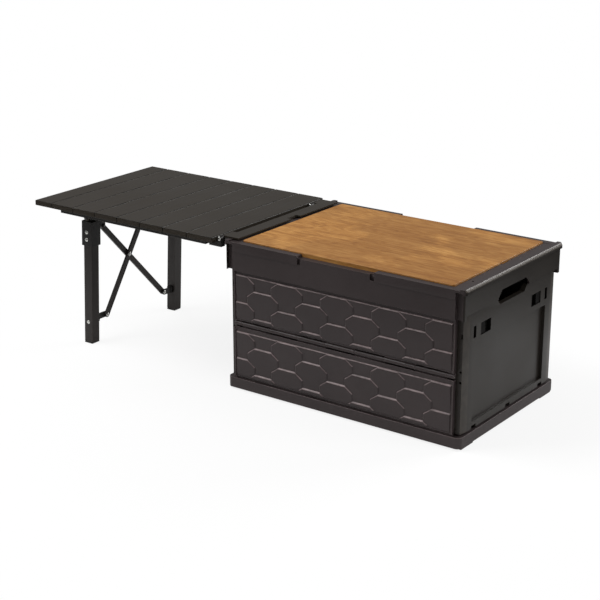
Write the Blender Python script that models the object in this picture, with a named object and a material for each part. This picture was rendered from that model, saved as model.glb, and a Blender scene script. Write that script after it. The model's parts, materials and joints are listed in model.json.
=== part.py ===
"""Camping crate with a wooden lid and a folding slatted table hooked on one end.

Sizes are in metres. X runs away from the table, Y runs to the back, Z is up.
The origin is the centre of the crate's underside.
"""
import math

import bmesh
import bpy

# Overall crate
RIM_LENGTH = 0.530
RIM_WIDTH = 0.360
CRATE_HEIGHT = 0.300
# Gap between pieces that touch, and length by which a cutter passes a face
TOUCH = 0.0003
PASS = 0.002

# Base tray
BASE_END_INSET = 0.0044
BASE_SIDE_INSET = 0.0019
BASE_HEIGHT = 0.024
BASE_CORNER = 0.010
BASE_FLOOR = 0.006
BASE_EDGE_LIFT = 0.003
BASE_END_LEDGE = 0.0175
SOLE_INSET = 0.045
SOLE_JOIN = 0.001
FOOT_WIDTH = 0.042
FOOT_INSET = 0.009
FOOT_SHY = 0.0012

# Long side walls, folded at mid height
WALL_SET_BACK = 0.0055
WALL_THICK = 0.0065
WALL_END_INSET = 0.0213
WALL_ABOVE_BASE = 0.004
WALL_TONGUE_THICK = 0.0035
MID_GAP_HALF = 0.007
UPPER_PIVOT_COVER = 0.002
MID_HINGE_RADIUS = 0.0042
MID_ROD_RADIUS = 0.0015
MID_KNUCKLES = 9
MID_KNUCKLE_PITCH = 0.065
MID_WEB_INSET = 0.0004
MID_WEB_DEPTH = 0.0032
BORE_GAP = 0.0003

# Raised scales on the long walls
SCALE_PITCH = 0.113
SCALE_FIRST = -0.232
SCALE_TOP_HALF = 0.0205
SCALE_HALF = 0.0375
SCALE_NECK_HALF = 0.0195
SCALE_SHOULDER = 0.0126
SCALE_SIDE = 0.0144
SCALE_HEIGHT = 0.0544
SCALE_GROOVE = 0.0004
SCALE_RISE = 0.0028
SCALE_FADE = 0.0004
FIELD_BELOW_SKIRT = 0.0072
FIELD_ABOVE_MID = 0.0035
FIELD_BELOW_MID = 0.0086
FIELD_ABOVE_WALL = 0.0030
FIELD_END_INSET = 0.0045
WALL_EDGE_BEAD = 0.0030

# Rim frame
SKIRT_THICK = 0.003
SIDE_SKIRT_DEPTH = 0.058
END_SKIRT_DEPTH = 0.050
RIM_PLATE_THICK = 0.007
RIM_CORNER = 0.006
RIM_WEB_THICK = 0.003
RIM_LEDGE_THICK = 0.0035
RIM_LEDGE_WIDTH = 0.009
END_LIP_WIDTH = 0.013
END_LIP_HEIGHT = 0.010
END_LIP_OVERHANG = 0.004
STRIP_DEPTH = 0.003
CORNER_NOTCH_DEPTH = 0.008
CORNER_WALL = 0.003
LONG_SIDE_DROP = 0.0025
MIDDLE_DROP = 0.0075
MIDDLE_PLATE_THICK = 0.003
MIDDLE_FROM = -0.0925
MIDDLE_TO = 0.077
FLAP_FROM = -0.086
FLAP_TO = 0.067
FLAP_SLOT_DEPTH = 0.019
STRIP_HOLE_Y = 0.118
STRIP_HOLE_RADIUS = 0.0025
STRIP_HOLE_DEPTH = 0.003
EAR_ROOM = 0.0005
FINGER_NOTCH_Y = 0.015
FINGER_NOTCH_LENGTH = 0.024
FINGER_NOTCH_WIDTH = 0.0026
FINGER_NOTCH_DEPTH = 0.008

# Wooden lid
LID_END_INSET = 0.034
LID_SIDE_INSET = 0.016
LID_THICK = 0.012
LID_GAP = 0.0005
LID_CORNER = 0.004

# End walls, hung from the rim
END_WALL_SET_BACK = 0.0075
END_WALL_THICK = 0.010
END_WALL_GAP = 0.0005
END_WALL_ABOVE_BASE = 0.003
END_WALL_HANG = 0.0065
END_FLANGE_REACH = 0.0075
END_FLANGE_WIDTH = 0.007
END_PIVOT_DROP = 0.044
END_PIVOT_DEPTH = 0.0055
END_LUG_INSET = 0.0095
END_LUG_WIDTH = 0.008
END_LUG_RADIUS = 0.0045
END_EAR_THICK = 0.004
END_EAR_GAP = 0.0004
END_PIN_RADIUS = 0.0018
RECESS_SIDE_BORDER = 0.0355
RECESS_LOW_BORDER = 0.013
RECESS_TOP_DROP = 0.112
RECESS_DEPTH = 0.006
HAND_HOLE_HALF = 0.058
HAND_HOLE_FLAT_HALF = 0.045
HAND_HOLE_TOP_DROP = 0.034
HAND_HOLE_HEIGHT = 0.028
BOTTOM_NOTCH_INSET = 0.0425
BOTTOM_NOTCH_WIDTH = 0.016
BOTTOM_NOTCH_HEIGHT = 0.006
EDGE_HOLE_OFFSETS = (0.009, -0.011)
EDGE_HOLE_RADIUS = 0.0025
EDGE_HOLE_DEPTH = 0.006

# Latches in the end walls
WINDOW_INSET = 0.0565
WINDOW_WIDTH = 0.035
WINDOW_TOP_DROP = 0.078
WINDOW_HEIGHT = 0.023
WINDOW_DEPTH = 0.0068
SLOT_INSET = 0.0355
SLOT_WIDTH = 0.009
LATCH_TAB_LENGTH = 0.0166
LATCH_TAB_SHY = 0.001
LATCH_BOLT_THICK = 0.003
LATCH_BOLT_HEIGHT = 0.009

# Folding table top
SLAT_PITCH = 0.060
SLAT_COUNT = 8
FIRST_SLAT_WIDTH = 0.047
LAST_SLAT_EXTRA = 0.003
TABLE_TO_HINGE = 0.005
TABLE_FRONT_OVERHANG = 0.0157
TABLE_BACK_INSET = 0.0133
TABLE_ABOVE_RIM = 0.004
SLAT_DEPTH = 0.011
SLAT_GAP = 0.0008
SLAT_SKIN = 0.0022
SLAT_FLANGE = 0.002
SLAT_CHAMFER = 0.0012
RAIL_OUTER_INSET = 0.067
RAIL_FRONT_INSET = 0.0057
RAIL_BACK_INSET = 0.0057
RAIL_WIDTH = 0.018
RAIL_DEPTH = 0.0067
END_RAIL_INSET = 0.002
END_RAIL_WIDTH = 0.018
END_RAIL_DEPTH = 0.0097

# Hooks and hinge between crate and table
HINGE_OUTSIDE_RIM = 0.010
HINGE_BELOW_RIM = 0.001
HINGE_RADIUS = 0.0045
HINGE_PIN_RADIUS = 0.002
HINGE_BORE_GAP = 0.0002
HINGE_HEAD_RADIUS = 0.004
HINGE_HEAD_THICK = 0.0014
HOOK_FRONT_INSET = 0.0277
HOOK_BACK_INSET = 0.0397
HOOK_LENGTH = 0.031
TABLE_KNUCKLE = 0.0117
HOOK_PLATE_OVERHANG = 0.001
HOOK_PLATE_REACH = 0.037
HOOK_PLATE_THICK = 0.003
HOOK_LIP_THICK = 0.003
HOOK_LIP_ROOM = 0.0005
HOOK_LIP_INSET = 0.005
HOOK_CUT_DEPTH = 0.010
HOOK_CUT_MARGIN = 0.003

# Folding legs
LEG_PIVOT_INSET = 0.1111
LEG_PIVOT_DROP = 0.0167
LEG_SPLAY = math.atan(0.0475)
FRONT_LEG_INSET = 0.0477
BACK_LEG_INSET = 0.0507
LEG_SIZE = 0.0215
LEG_WALL = 0.0015
LEG_TOP_DROP = 0.011
HUB_WALL = 0.0025
HUB_TOP_DROP = 0.008
HUB_LENGTH = 0.053
HUB_KNUCKLE_HALF = 0.008
HUB_KNUCKLE_RADIUS = 0.007
HUB_PIN_RADIUS = 0.003
HUB_PIN_GAP = 0.0002
HUB_EAR_RADIUS = 0.0072
MOUNT_BAR_HALF = 0.011
MOUNT_BAR_THICK = 0.0024
RIVET_RADIUS = 0.0022
RIVET_GAP = 0.0003
RIVET_HEAD_RADIUS = 0.0042
RIVET_HEAD_THICK = 0.0012
HUB_RIVET_DROPS = (0.031, 0.047)
FOOT_CAP_SOLE = 0.003
FOOT_CAP_PLUG = 0.012

# Cross brace between the legs
CROSS_TUBE_DROP = 0.014
CROSS_TUBE_RADIUS = 0.0045
BRACE_TOP_DROP = 0.026
BRACE_LOW_DROP = 0.226
BRACE_TOP_FRONT_INSET = 0.0213
BRACE_TOP_BACK_INSET = 0.0932
BRACE_LOW_FRONT_INSET = 0.0315
BRACE_LOW_BACK_INSET = 0.026
STRUT_WIDTH = 0.012
STRUT_THICK = 0.0045
STRUT_SPLIT = 0.0004
BRACE_EAR_THICK = 0.004
BRACE_EAR_RADIUS = 0.006
BRACKET_BLOCK_DEPTH = 0.007
BRACKET_BLOCK_HALF = 0.0055
BRACKET_BLOCK_HEIGHT = 0.014
BRACKET_RIVET_DROP = 0.229

# Colours, roughness and metallic value of each material
DARK_PLASTIC = ((0.032, 0.026, 0.026, 1), 0.5, 0.0)
GREY_PLASTIC = ((0.050, 0.049, 0.045, 1), 0.5, 0.0)
BLACK_PLASTIC = ((0.012, 0.011, 0.011, 1), 0.45, 0.0)
OILED_WOOD = ((0.47, 0.25, 0.10, 1), 0.5, 0.0)
DARK_ALUMINIUM = ((0.055, 0.052, 0.048, 1), 0.42, 0.6)
BRIGHT_STEEL = ((0.62, 0.62, 0.60, 1), 0.28, 1.0)

# Places worked out from the sizes above
HALF_LENGTH = RIM_LENGTH / 2
HALF_WIDTH = RIM_WIDTH / 2
SIDE_SKIRT_BOTTOM = CRATE_HEIGHT - SIDE_SKIRT_DEPTH
END_SKIRT_BOTTOM = CRATE_HEIGHT - END_SKIRT_DEPTH
WALL_HALF_LENGTH = HALF_LENGTH - WALL_END_INSET
WALL_BOTTOM = BASE_HEIGHT + WALL_ABOVE_BASE
WALL_TOP = CRATE_HEIGHT - MIDDLE_DROP - MIDDLE_PLATE_THICK - TOUCH
MID_HINGE_HEIGHT = (WALL_BOTTOM + SIDE_SKIRT_BOTTOM + UPPER_PIVOT_COVER) / 2
LOWER_WALL_TOP = MID_HINGE_HEIGHT - MID_GAP_HALF
UPPER_WALL_BOTTOM = MID_HINGE_HEIGHT + MID_GAP_HALF
FIELD_HALF_LENGTH = WALL_HALF_LENGTH - FIELD_END_INSET
WALL_FACE = HALF_WIDTH - WALL_SET_BACK
WALL_INSIDE = WALL_FACE - WALL_THICK
RIM_PLATE_BOTTOM = CRATE_HEIGHT - RIM_PLATE_THICK
END_SKIRT_FACE = HALF_LENGTH - END_LIP_OVERHANG
END_SKIRT_INSIDE = END_SKIRT_FACE - SKIRT_THICK
END_WALL_FACE = HALF_LENGTH - END_WALL_SET_BACK
END_WALL_BOTTOM = BASE_HEIGHT + END_WALL_ABOVE_BASE
END_PIVOT_HEIGHT = CRATE_HEIGHT - END_PIVOT_DROP
END_WALL_TOP = END_PIVOT_HEIGHT - END_WALL_HANG
HAND_HOLE_TOP = CRATE_HEIGHT - HAND_HOLE_TOP_DROP
HAND_HOLE_BOTTOM = HAND_HOLE_TOP - HAND_HOLE_HEIGHT
WINDOW_TOP = CRATE_HEIGHT - WINDOW_TOP_DROP
WINDOW_BOTTOM = WINDOW_TOP - WINDOW_HEIGHT
END_WALL_INSIDE = END_WALL_FACE - END_WALL_THICK
END_PIVOT_X = END_WALL_FACE - END_PIVOT_DEPTH
END_WALL_HALF = WALL_INSIDE - END_WALL_GAP
END_LUG_TO = END_WALL_HALF - END_LUG_INSET
END_LUG_FROM = END_LUG_TO - END_LUG_WIDTH
WINDOW_TO = END_WALL_HALF - WINDOW_INSET
WINDOW_FROM = WINDOW_TO - WINDOW_WIDTH
SLOT_CENTRE = END_WALL_HALF - SLOT_INSET
BOTTOM_NOTCH_Y = END_WALL_HALF - BOTTOM_NOTCH_INSET
LID_HALF_LENGTH = HALF_LENGTH - LID_END_INSET
LID_HALF_WIDTH = HALF_WIDTH - LID_SIDE_INSET
LID_POCKET_X = LID_HALF_LENGTH + LID_GAP
LID_POCKET_Y = LID_HALF_WIDTH + LID_GAP
LID_SEAT = CRATE_HEIGHT - LID_THICK - TOUCH
HINGE_X = -HALF_LENGTH - HINGE_OUTSIDE_RIM
HINGE_Z = CRATE_HEIGHT - HINGE_BELOW_RIM
TABLE_FRONT = -HALF_WIDTH - TABLE_FRONT_OVERHANG
TABLE_BACK = HALF_WIDTH - TABLE_BACK_INSET
TABLE_TOP = CRATE_HEIGHT + TABLE_ABOVE_RIM
TABLE_BOTTOM = TABLE_TOP - SLAT_DEPTH
TABLE_INNER_EDGE = HINGE_X - TABLE_TO_HINGE
TABLE_FIRST_SEAM = TABLE_INNER_EDGE - LAST_SLAT_EXTRA - (SLAT_COUNT - 1) * SLAT_PITCH
TABLE_OUTER_EDGE = TABLE_FIRST_SEAM - FIRST_SLAT_WIDTH
END_RAIL_INNER = TABLE_INNER_EDGE - END_RAIL_INSET
END_RAIL_OUTER = END_RAIL_INNER - END_RAIL_WIDTH
HOOK_FRONT_FROM = TABLE_FRONT + HOOK_FRONT_INSET
HOOK_BACK_FROM = TABLE_BACK - HOOK_BACK_INSET
FRONT_LEG_Y = TABLE_FRONT + FRONT_LEG_INSET
BACK_LEG_Y = TABLE_BACK - BACK_LEG_INSET
RAIL_TOP = TABLE_BOTTOM - TOUCH
LEG_PIVOT_X = TABLE_OUTER_EDGE + LEG_PIVOT_INSET
LEG_PIVOT_Z = RAIL_TOP - LEG_PIVOT_DROP
HUB_HALF = LEG_SIZE / 2 + TOUCH + HUB_WALL


def box(x0, x1, y0, y1, z0, z1):
    """Corner points and faces of a box."""
    low, high = min(x0, x1), max(x0, x1)
    outline = [(low, z0), (high, z0), (high, z1), (low, z1)]
    return prism("Y", min(y0, y1), max(y0, y1), outline)


def prism(axis, start, end, outline):
    """An outline pushed along an axis. Its two coordinates are the other axes in X, Y, Z order."""
    place = {
        "X": lambda along, a, b: (along, a, b),
        "Y": lambda along, a, b: (a, along, b),
        "Z": lambda along, a, b: (a, b, along),
    }[axis]
    count = len(outline)
    points = [place(start, a, b) for a, b in outline] + [place(end, a, b) for a, b in outline]
    faces = [tuple(range(count)), tuple(range(2 * count - 1, count - 1, -1))]
    faces += [(i, (i + 1) % count, (i + 1) % count + count, i + count) for i in range(count)]
    return points, faces


def circle(a, b, radius, sides=12):
    """Outline of a round section, with flats top and bottom."""
    step = 2 * math.pi / sides
    return [(a + radius * math.sin((i + 0.5) * step), b + radius * math.cos((i + 0.5) * step))
            for i in range(sides)]


def rod(axis, start, end, a, b, radius, sides=12):
    """A round bar along an axis."""
    return prism(axis, start, end, circle(a, b, radius, sides))


def stadium(a0, b0, a1, b1, radius, steps=5):
    """Outline of a flat bar with round ends between two points."""
    heading = math.atan2(b1 - b0, a1 - a0)
    outline = []
    for centre_a, centre_b, turn in ((a1, b1, -math.pi / 2), (a0, b0, math.pi / 2)):
        for i in range(steps + 1):
            angle = heading + turn + math.pi * i / steps
            outline.append((centre_a + radius * math.cos(angle), centre_b + radius * math.sin(angle)))
    return outline


def rounded(half_a, half_b, radius, steps=4):
    """Outline of a rectangle with round corners."""
    outline = []
    for quarter, (sign_a, sign_b) in enumerate(((1, 1), (-1, 1), (-1, -1), (1, -1))):
        for i in range(steps + 1):
            angle = math.pi / 2 * (quarter + i / steps)
            outline.append((sign_a * (half_a - radius) + radius * math.cos(angle),
                            sign_b * (half_b - radius) + radius * math.sin(angle)))
    return outline


def mesh_of(name, shapes):
    """One mesh from several closed shapes, with every face pointing out."""
    mesh = bpy.data.meshes.new(name)
    bm = bmesh.new()
    for points, faces in shapes:
        corners = [bm.verts.new(point) for point in points]
        for face in faces:
            bm.faces.new([corners[i] for i in face])
    bmesh.ops.recalc_face_normals(bm, faces=bm.faces)
    bm.to_mesh(mesh)
    bm.free()
    return mesh


def combine(target, shapes, operation):
    """Join shapes to an object, or cut them out of it."""
    tool = bpy.data.objects.new("tool", mesh_of("tool", shapes))
    bpy.context.scene.collection.objects.link(tool)
    tool.hide_render = True
    tool.display_type = "WIRE"
    change = target.modifiers.new("change", "BOOLEAN")
    change.operation = operation
    change.solver = "EXACT"
    change.use_self = len(shapes) > 1
    change.object = tool
    graph = bpy.context.evaluated_depsgraph_get()
    mesh = bpy.data.meshes.new_from_object(target.evaluated_get(graph))
    target.modifiers.clear()
    target.data = mesh
    bpy.data.objects.remove(tool)


def paint(node, look):
    """A material of a node's own."""
    colour, roughness, metallic = look
    material = bpy.data.materials.new(node.name)
    material.use_nodes = True
    shader = material.node_tree.nodes["Principled BSDF"]
    shader.inputs["Base Color"].default_value = colour
    shader.inputs["Roughness"].default_value = roughness
    shader.inputs["Metallic"].default_value = metallic
    material.diffuse_color = colour
    node.data.materials.clear()
    node.data.materials.append(material)


def piece(name, look, solids, cuts=(), axis=None):
    """One sub-part: its solids joined, its cuts taken out, hung on its axis if it moves."""
    node = bpy.data.objects.new(name, mesh_of(name, solids[:1]))
    bpy.context.scene.collection.objects.link(node)
    for solid in solids[1:]:
        combine(node, [solid], "UNION")
    if cuts:
        combine(node, list(cuts), "DIFFERENCE")
    node.data.shade_smooth()
    node.data.set_sharp_from_angle(angle=math.radians(35))
    paint(node, look)
    if axis is not None:
        node.parent = axis
        node.matrix_parent_inverse = axis.matrix_world.inverted()
    return node


def joint_axis(name, place, parent=None, tilt=0.0):
    """An empty on a joint's axis, which carries the pieces that move with it."""
    empty = bpy.data.objects.new(name, None)
    bpy.context.scene.collection.objects.link(empty)
    empty.location = place
    empty.rotation_euler = (0, tilt, 0)
    bpy.context.view_layer.update()
    if parent is not None:
        empty.parent = parent
        empty.matrix_parent_inverse = parent.matrix_world.inverted()
        bpy.context.view_layer.update()
    return empty


def base_tray():
    """Tray with a raised edge, a flat sole in the middle and four corner feet."""
    half_x = HALF_LENGTH - BASE_END_INSET
    half_y = HALF_WIDTH - BASE_SIDE_INSET
    inner_x = half_x - BASE_END_LEDGE
    floor_low = BASE_EDGE_LIFT + SOLE_JOIN
    solids = [prism("Z", BASE_EDGE_LIFT, BASE_HEIGHT, rounded(half_x, half_y, BASE_CORNER))]
    solids.append(box(-half_x + SOLE_INSET, half_x - SOLE_INSET,
                      -half_y + SOLE_INSET, half_y - SOLE_INSET, 0, floor_low))
    for sign_x in (-1, 1):
        for sign_y in (-1, 1):
            edge_x = sign_x * (half_x - FOOT_SHY)
            edge_y = sign_y * (half_y - FOOT_INSET)
            solids.append(box(edge_x, edge_x - sign_x * (SOLE_INSET - FOOT_SHY - PASS),
                              edge_y, edge_y - sign_y * FOOT_WIDTH, 0, floor_low))
    well = box(-inner_x, inner_x, -WALL_INSIDE, WALL_INSIDE, BASE_FLOOR, BASE_HEIGHT + PASS)
    piece("base_tray", DARK_PLASTIC, solids, [well])


def scale_outline(centre, top):
    """One scale, seen from outside: a flat top, sloping shoulders and a narrower neck below."""
    groove = SCALE_GROOVE
    side = top - SCALE_SHOULDER
    low_side = side - SCALE_SIDE
    right = [
        (SCALE_TOP_HALF - groove, top - groove),
        (SCALE_HALF - groove, side - groove),
        (SCALE_HALF - groove, low_side + groove),
        (SCALE_NECK_HALF - groove, low_side - SCALE_SHOULDER + groove),
        (SCALE_NECK_HALF - groove, top - SCALE_HEIGHT + groove),
    ]
    outline = [(centre + a, b) for a, b in right]
    outline += [(centre - a, b) for a, b in reversed(right)]
    return outline


def clip(outline, axis, limit, keep_below):
    """The part of an outline on one side of a line."""
    sign = 1 if keep_below else -1
    result = []
    for i, point in enumerate(outline):
        before = outline[i - 1]
        was_in = sign * (before[axis] - limit) <= 0
        is_in = sign * (point[axis] - limit) <= 0
        if was_in != is_in:
            share = (limit - before[axis]) / (point[axis] - before[axis])
            result.append(tuple(before[k] + share * (point[k] - before[k]) for k in (0, 1)))
        if is_in:
            result.append(point)
    return result


def scale_shape(side, centre, top, field_bottom, field_top):
    """A scale as a solid wedge on the wall's face, highest at its top edge."""
    outline = scale_outline(centre, top)
    for axis, limit, below in ((0, FIELD_HALF_LENGTH, True), (0, -FIELD_HALF_LENGTH, False),
                               (1, field_top, True), (1, field_bottom, False)):
        outline = clip(outline, axis, limit, below)
        if len(outline) < 3:
            return None
    if max(b for a, b in outline) - min(b for a, b in outline) < SCALE_GROOVE * 5:
        return None
    points = []
    for raised in (False, True):
        for a, b in outline:
            fall = (top - b) / SCALE_HEIGHT
            rise = SCALE_RISE - (SCALE_RISE - SCALE_FADE) * fall if raised else -WALL_THICK / 4
            points.append((a, side * (WALL_FACE + rise), b))
    faces = prism("Y", 0, 1, outline)[1]
    return points, faces


def scale_field(side, bottom, top):
    """All the scales of one panel, in staggered columns."""
    shapes = []
    column = 0
    centre = SCALE_FIRST
    while centre < FIELD_HALF_LENGTH + SCALE_HALF:
        start = top if column % 2 == 0 else top + SCALE_HEIGHT / 2
        while start > bottom:
            shapes.append(scale_shape(side, centre, start, bottom, top))
            start -= SCALE_HEIGHT
        column += 1
        centre += SCALE_PITCH / 2
    return [shape for shape in shapes if shape]


def mid_knuckles(side, upper):
    """The hinge barrels that belong to the upper or the lower panel, with their webs."""
    centre_y = side * (WALL_INSIDE + MID_HINGE_RADIUS)
    web_end = UPPER_WALL_BOTTOM + PASS / 2 if upper else LOWER_WALL_TOP - PASS / 2
    shapes = []
    for i in range(MID_KNUCKLES):
        if (i % 2 == 0) != upper:
            continue
        start = -MID_KNUCKLES / 2 * MID_KNUCKLE_PITCH + i * MID_KNUCKLE_PITCH
        x0 = max(start + TOUCH, -WALL_HALF_LENGTH)
        x1 = min(start + MID_KNUCKLE_PITCH - TOUCH, WALL_HALF_LENGTH)
        shapes.append(rod("X", x0, x1, centre_y, MID_HINGE_HEIGHT, MID_HINGE_RADIUS))
        shapes.append(box(x0, x1, side * (WALL_INSIDE + MID_WEB_INSET),
                          side * (WALL_INSIDE + MID_WEB_DEPTH),
                          min(MID_HINGE_HEIGHT, web_end), max(MID_HINGE_HEIGHT, web_end)))
    return shapes


def side_wall(name, side, upper):
    """One half of a long side wall."""
    low = UPPER_WALL_BOTTOM if upper else WALL_BOTTOM
    high = WALL_TOP if upper else LOWER_WALL_TOP
    field_low = low + (FIELD_ABOVE_MID if upper else FIELD_ABOVE_WALL)
    field_high = SIDE_SKIRT_BOTTOM - FIELD_BELOW_SKIRT if upper else high - FIELD_BELOW_MID
    bead_high = SIDE_SKIRT_BOTTOM - TOUCH if upper else high
    plate = box(-WALL_HALF_LENGTH, WALL_HALF_LENGTH, side * WALL_INSIDE, side * WALL_FACE, low, high)
    wall = piece(name, DARK_PLASTIC, [plate])
    extras = scale_field(side, field_low, field_high)
    for sign in (-1, 1):
        extras.append(box(sign * WALL_HALF_LENGTH, sign * (WALL_HALF_LENGTH - WALL_EDGE_BEAD),
                          side * (WALL_FACE - WALL_THICK / 4), side * (WALL_FACE + SCALE_RISE),
                          low, bead_high))
    combine(wall, extras, "UNION")
    knuckles = mid_knuckles(side, upper)
    if not upper:
        middle = (WALL_INSIDE + WALL_FACE) / 2
        knuckles.append(box(-WALL_HALF_LENGTH, WALL_HALF_LENGTH,
                            side * (middle - WALL_TONGUE_THICK / 2),
                            side * (middle + WALL_TONGUE_THICK / 2),
                            BASE_HEIGHT + TOUCH, WALL_BOTTOM + PASS))
    combine(wall, knuckles, "UNION")
    centre_y = side * (WALL_INSIDE + MID_HINGE_RADIUS)
    bore = rod("X", -HALF_LENGTH, HALF_LENGTH, centre_y, MID_HINGE_HEIGHT, MID_ROD_RADIUS + BORE_GAP)
    combine(wall, [bore], "DIFFERENCE")


def side_walls():
    """Both long walls, each in two halves on a hinge rod."""
    for name, side in (("front", -1), ("back", 1)):
        side_wall(name + "_wall_lower", side, False)
        side_wall(name + "_wall_upper", side, True)
        piece(name + "_mid_hinge_rod", BRIGHT_STEEL,
              [rod("X", -WALL_HALF_LENGTH, WALL_HALF_LENGTH, side * (WALL_INSIDE + MID_HINGE_RADIUS),
                   MID_HINGE_HEIGHT, MID_ROD_RADIUS)])


def hand_hole(low, high):
    """Outline of the long six-sided hand hole between two heights, in Y and Z."""
    middle = (HAND_HOLE_TOP + HAND_HOLE_BOTTOM) / 2
    half = (HAND_HOLE_TOP - HAND_HOLE_BOTTOM) / 2
    corners = []
    for height in (low, high):
        share = abs(height - middle) / half
        corners.append(HAND_HOLE_HALF - (HAND_HOLE_HALF - HAND_HOLE_FLAT_HALF) * min(share, 1.0))
    outline = [(-corners[0], low), (corners[0], low)]
    if low < middle < high:
        outline.append((HAND_HOLE_HALF, middle))
    outline += [(corners[1], high), (-corners[1], high)]
    if low < middle < high:
        outline.append((-HAND_HOLE_HALF, middle))
    return outline


def rim_frame():
    """Top rim: skirts all round, a lid pocket with its ledge, and ears for the end walls."""
    top = CRATE_HEIGHT
    lip_low = top - END_LIP_HEIGHT
    solids = [prism("Z", lip_low, top, rounded(HALF_LENGTH, HALF_WIDTH, RIM_CORNER)),
              prism("Z", SIDE_SKIRT_BOTTOM, lip_low + PASS,
                    rounded(END_SKIRT_FACE, HALF_WIDTH, RIM_CORNER))]
    hollow = box(-END_SKIRT_INSIDE, END_SKIRT_INSIDE, -HALF_WIDTH + SKIRT_THICK,
                 HALF_WIDTH - SKIRT_THICK, SIDE_SKIRT_BOTTOM - PASS, RIM_PLATE_BOTTOM)
    frame = piece("rim_frame", DARK_PLASTIC, solids, [hollow])
    web_x = LID_POCKET_X + RIM_WEB_THICK
    web_y = LID_POCKET_Y + RIM_WEB_THICK
    ledge_low = LID_SEAT - RIM_LEDGE_THICK
    extras = [box(-web_x, web_x, -web_y, web_y, ledge_low, RIM_PLATE_BOTTOM + PASS)]
    for side in (-1, 1):
        extras.append(box(MIDDLE_FROM - SKIRT_THICK, MIDDLE_TO + SKIRT_THICK,
                          side * (web_y - RIM_WEB_THICK / 2), side * (HALF_WIDTH - SKIRT_THICK / 2),
                          top - MIDDLE_DROP - MIDDLE_PLATE_THICK, RIM_PLATE_BOTTOM + PASS))
    for extra in extras:
        combine(frame, [extra], "UNION")
    ear_low = END_PIVOT_HEIGHT
    for end in (-1, 1):
        pivot = end * END_PIVOT_X
        for side in (-1, 1):
            for start in (END_LUG_FROM - END_EAR_GAP - END_EAR_THICK, END_LUG_TO + END_EAR_GAP):
                y0, y1 = side * start, side * (start + END_EAR_THICK)
                combine(frame, [box(pivot - END_LUG_RADIUS, pivot + END_LUG_RADIUS, y0, y1,
                                    ear_low, RIM_PLATE_BOTTOM + PASS)], "UNION")
                combine(frame, [rod("Y", min(y0, y1), max(y0, y1), pivot, END_PIVOT_HEIGHT,
                                    END_LUG_RADIUS / math.cos(math.pi / 12))], "UNION")
            corner_y = side * (HALF_WIDTH - CORNER_NOTCH_DEPTH)
            combine(frame, [box(end * WALL_HALF_LENGTH, end * (END_SKIRT_FACE - SKIRT_THICK / 2),
                                corner_y, corner_y - side * CORNER_WALL,
                                SIDE_SKIRT_BOTTOM, RIM_PLATE_BOTTOM + PASS)], "UNION")
    opening_x = LID_POCKET_X - RIM_LEDGE_WIDTH
    opening_y = LID_POCKET_Y - RIM_LEDGE_WIDTH
    strip_x = HALF_LENGTH - END_LIP_WIDTH
    cuts = [
        box(-opening_x, opening_x, -opening_y, opening_y, SIDE_SKIRT_BOTTOM, top + PASS),
        box(-LID_POCKET_X, LID_POCKET_X, -LID_POCKET_Y, LID_POCKET_Y, LID_SEAT, top + PASS),
        box(-strip_x, strip_x, -LID_POCKET_Y, LID_POCKET_Y, top - STRIP_DEPTH, top + PASS),
    ]
    combine(frame, cuts, "DIFFERENCE")
    cuts = []
    corner_wall_inside = HALF_WIDTH - CORNER_NOTCH_DEPTH - CORNER_WALL
    for end in (-1, 1):
        far = end * (HALF_LENGTH + PASS)
        cuts.append(box(end * (END_SKIRT_INSIDE - EAR_ROOM), far, -corner_wall_inside,
                        corner_wall_inside, SIDE_SKIRT_BOTTOM - PASS, END_SKIRT_BOTTOM))
        for side in (-1, 1):
            cuts.append(box(end * WALL_HALF_LENGTH, end * END_SKIRT_INSIDE,
                            side * (HALF_WIDTH + PASS), side * (HALF_WIDTH - CORNER_NOTCH_DEPTH),
                            SIDE_SKIRT_BOTTOM - PASS, RIM_PLATE_BOTTOM))
        notch_x = end * LID_POCKET_X
        cuts.append(box(notch_x - end * PASS, notch_x + end * FINGER_NOTCH_WIDTH,
                        FINGER_NOTCH_Y - FINGER_NOTCH_LENGTH / 2,
                        FINGER_NOTCH_Y + FINGER_NOTCH_LENGTH / 2,
                        top - STRIP_DEPTH - FINGER_NOTCH_DEPTH, top + PASS))
        strip_middle = end * (strip_x + LID_POCKET_X) / 2
        cuts.append(rod("Z", top - STRIP_DEPTH - STRIP_HOLE_DEPTH, top + PASS, strip_middle,
                        -end * STRIP_HOLE_Y, STRIP_HOLE_RADIUS, 8))
        cuts.append(prism("X", min(far, end * (END_SKIRT_INSIDE - PASS)),
                          max(far, end * (END_SKIRT_INSIDE - PASS)),
                          hand_hole(END_SKIRT_BOTTOM - PASS, HAND_HOLE_TOP)))
    for side in (-1, 1):
        out = side * (HALF_WIDTH + PASS)
        cuts.append(box(-strip_x, strip_x, side * (LID_POCKET_Y - PASS), out,
                        top - LONG_SIDE_DROP, top + PASS))
        cuts.append(box(MIDDLE_FROM, MIDDLE_TO, side * (LID_POCKET_Y - PASS), out,
                        top - MIDDLE_DROP, top + PASS))
        for x0, x1 in ((MIDDLE_FROM, FLAP_FROM), (FLAP_TO, MIDDLE_TO)):
            cuts.append(box(x0, x1, side * WALL_FACE, out, top - FLAP_SLOT_DEPTH, top + PASS))
    for cut in cuts:
        combine(frame, [cut], "DIFFERENCE")
    pins = []
    for end in (-1, 1):
        for side in (-1, 1):
            y0 = side * (END_LUG_FROM - END_EAR_THICK)
            y1 = side * (END_LUG_TO + END_EAR_THICK)
            pins.append(rod("Y", min(y0, y1) - 2 * PASS, max(y0, y1) + 2 * PASS, end * END_PIVOT_X,
                            END_PIVOT_HEIGHT, END_PIN_RADIUS + TOUCH))
    combine(frame, pins, "DIFFERENCE")


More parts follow.
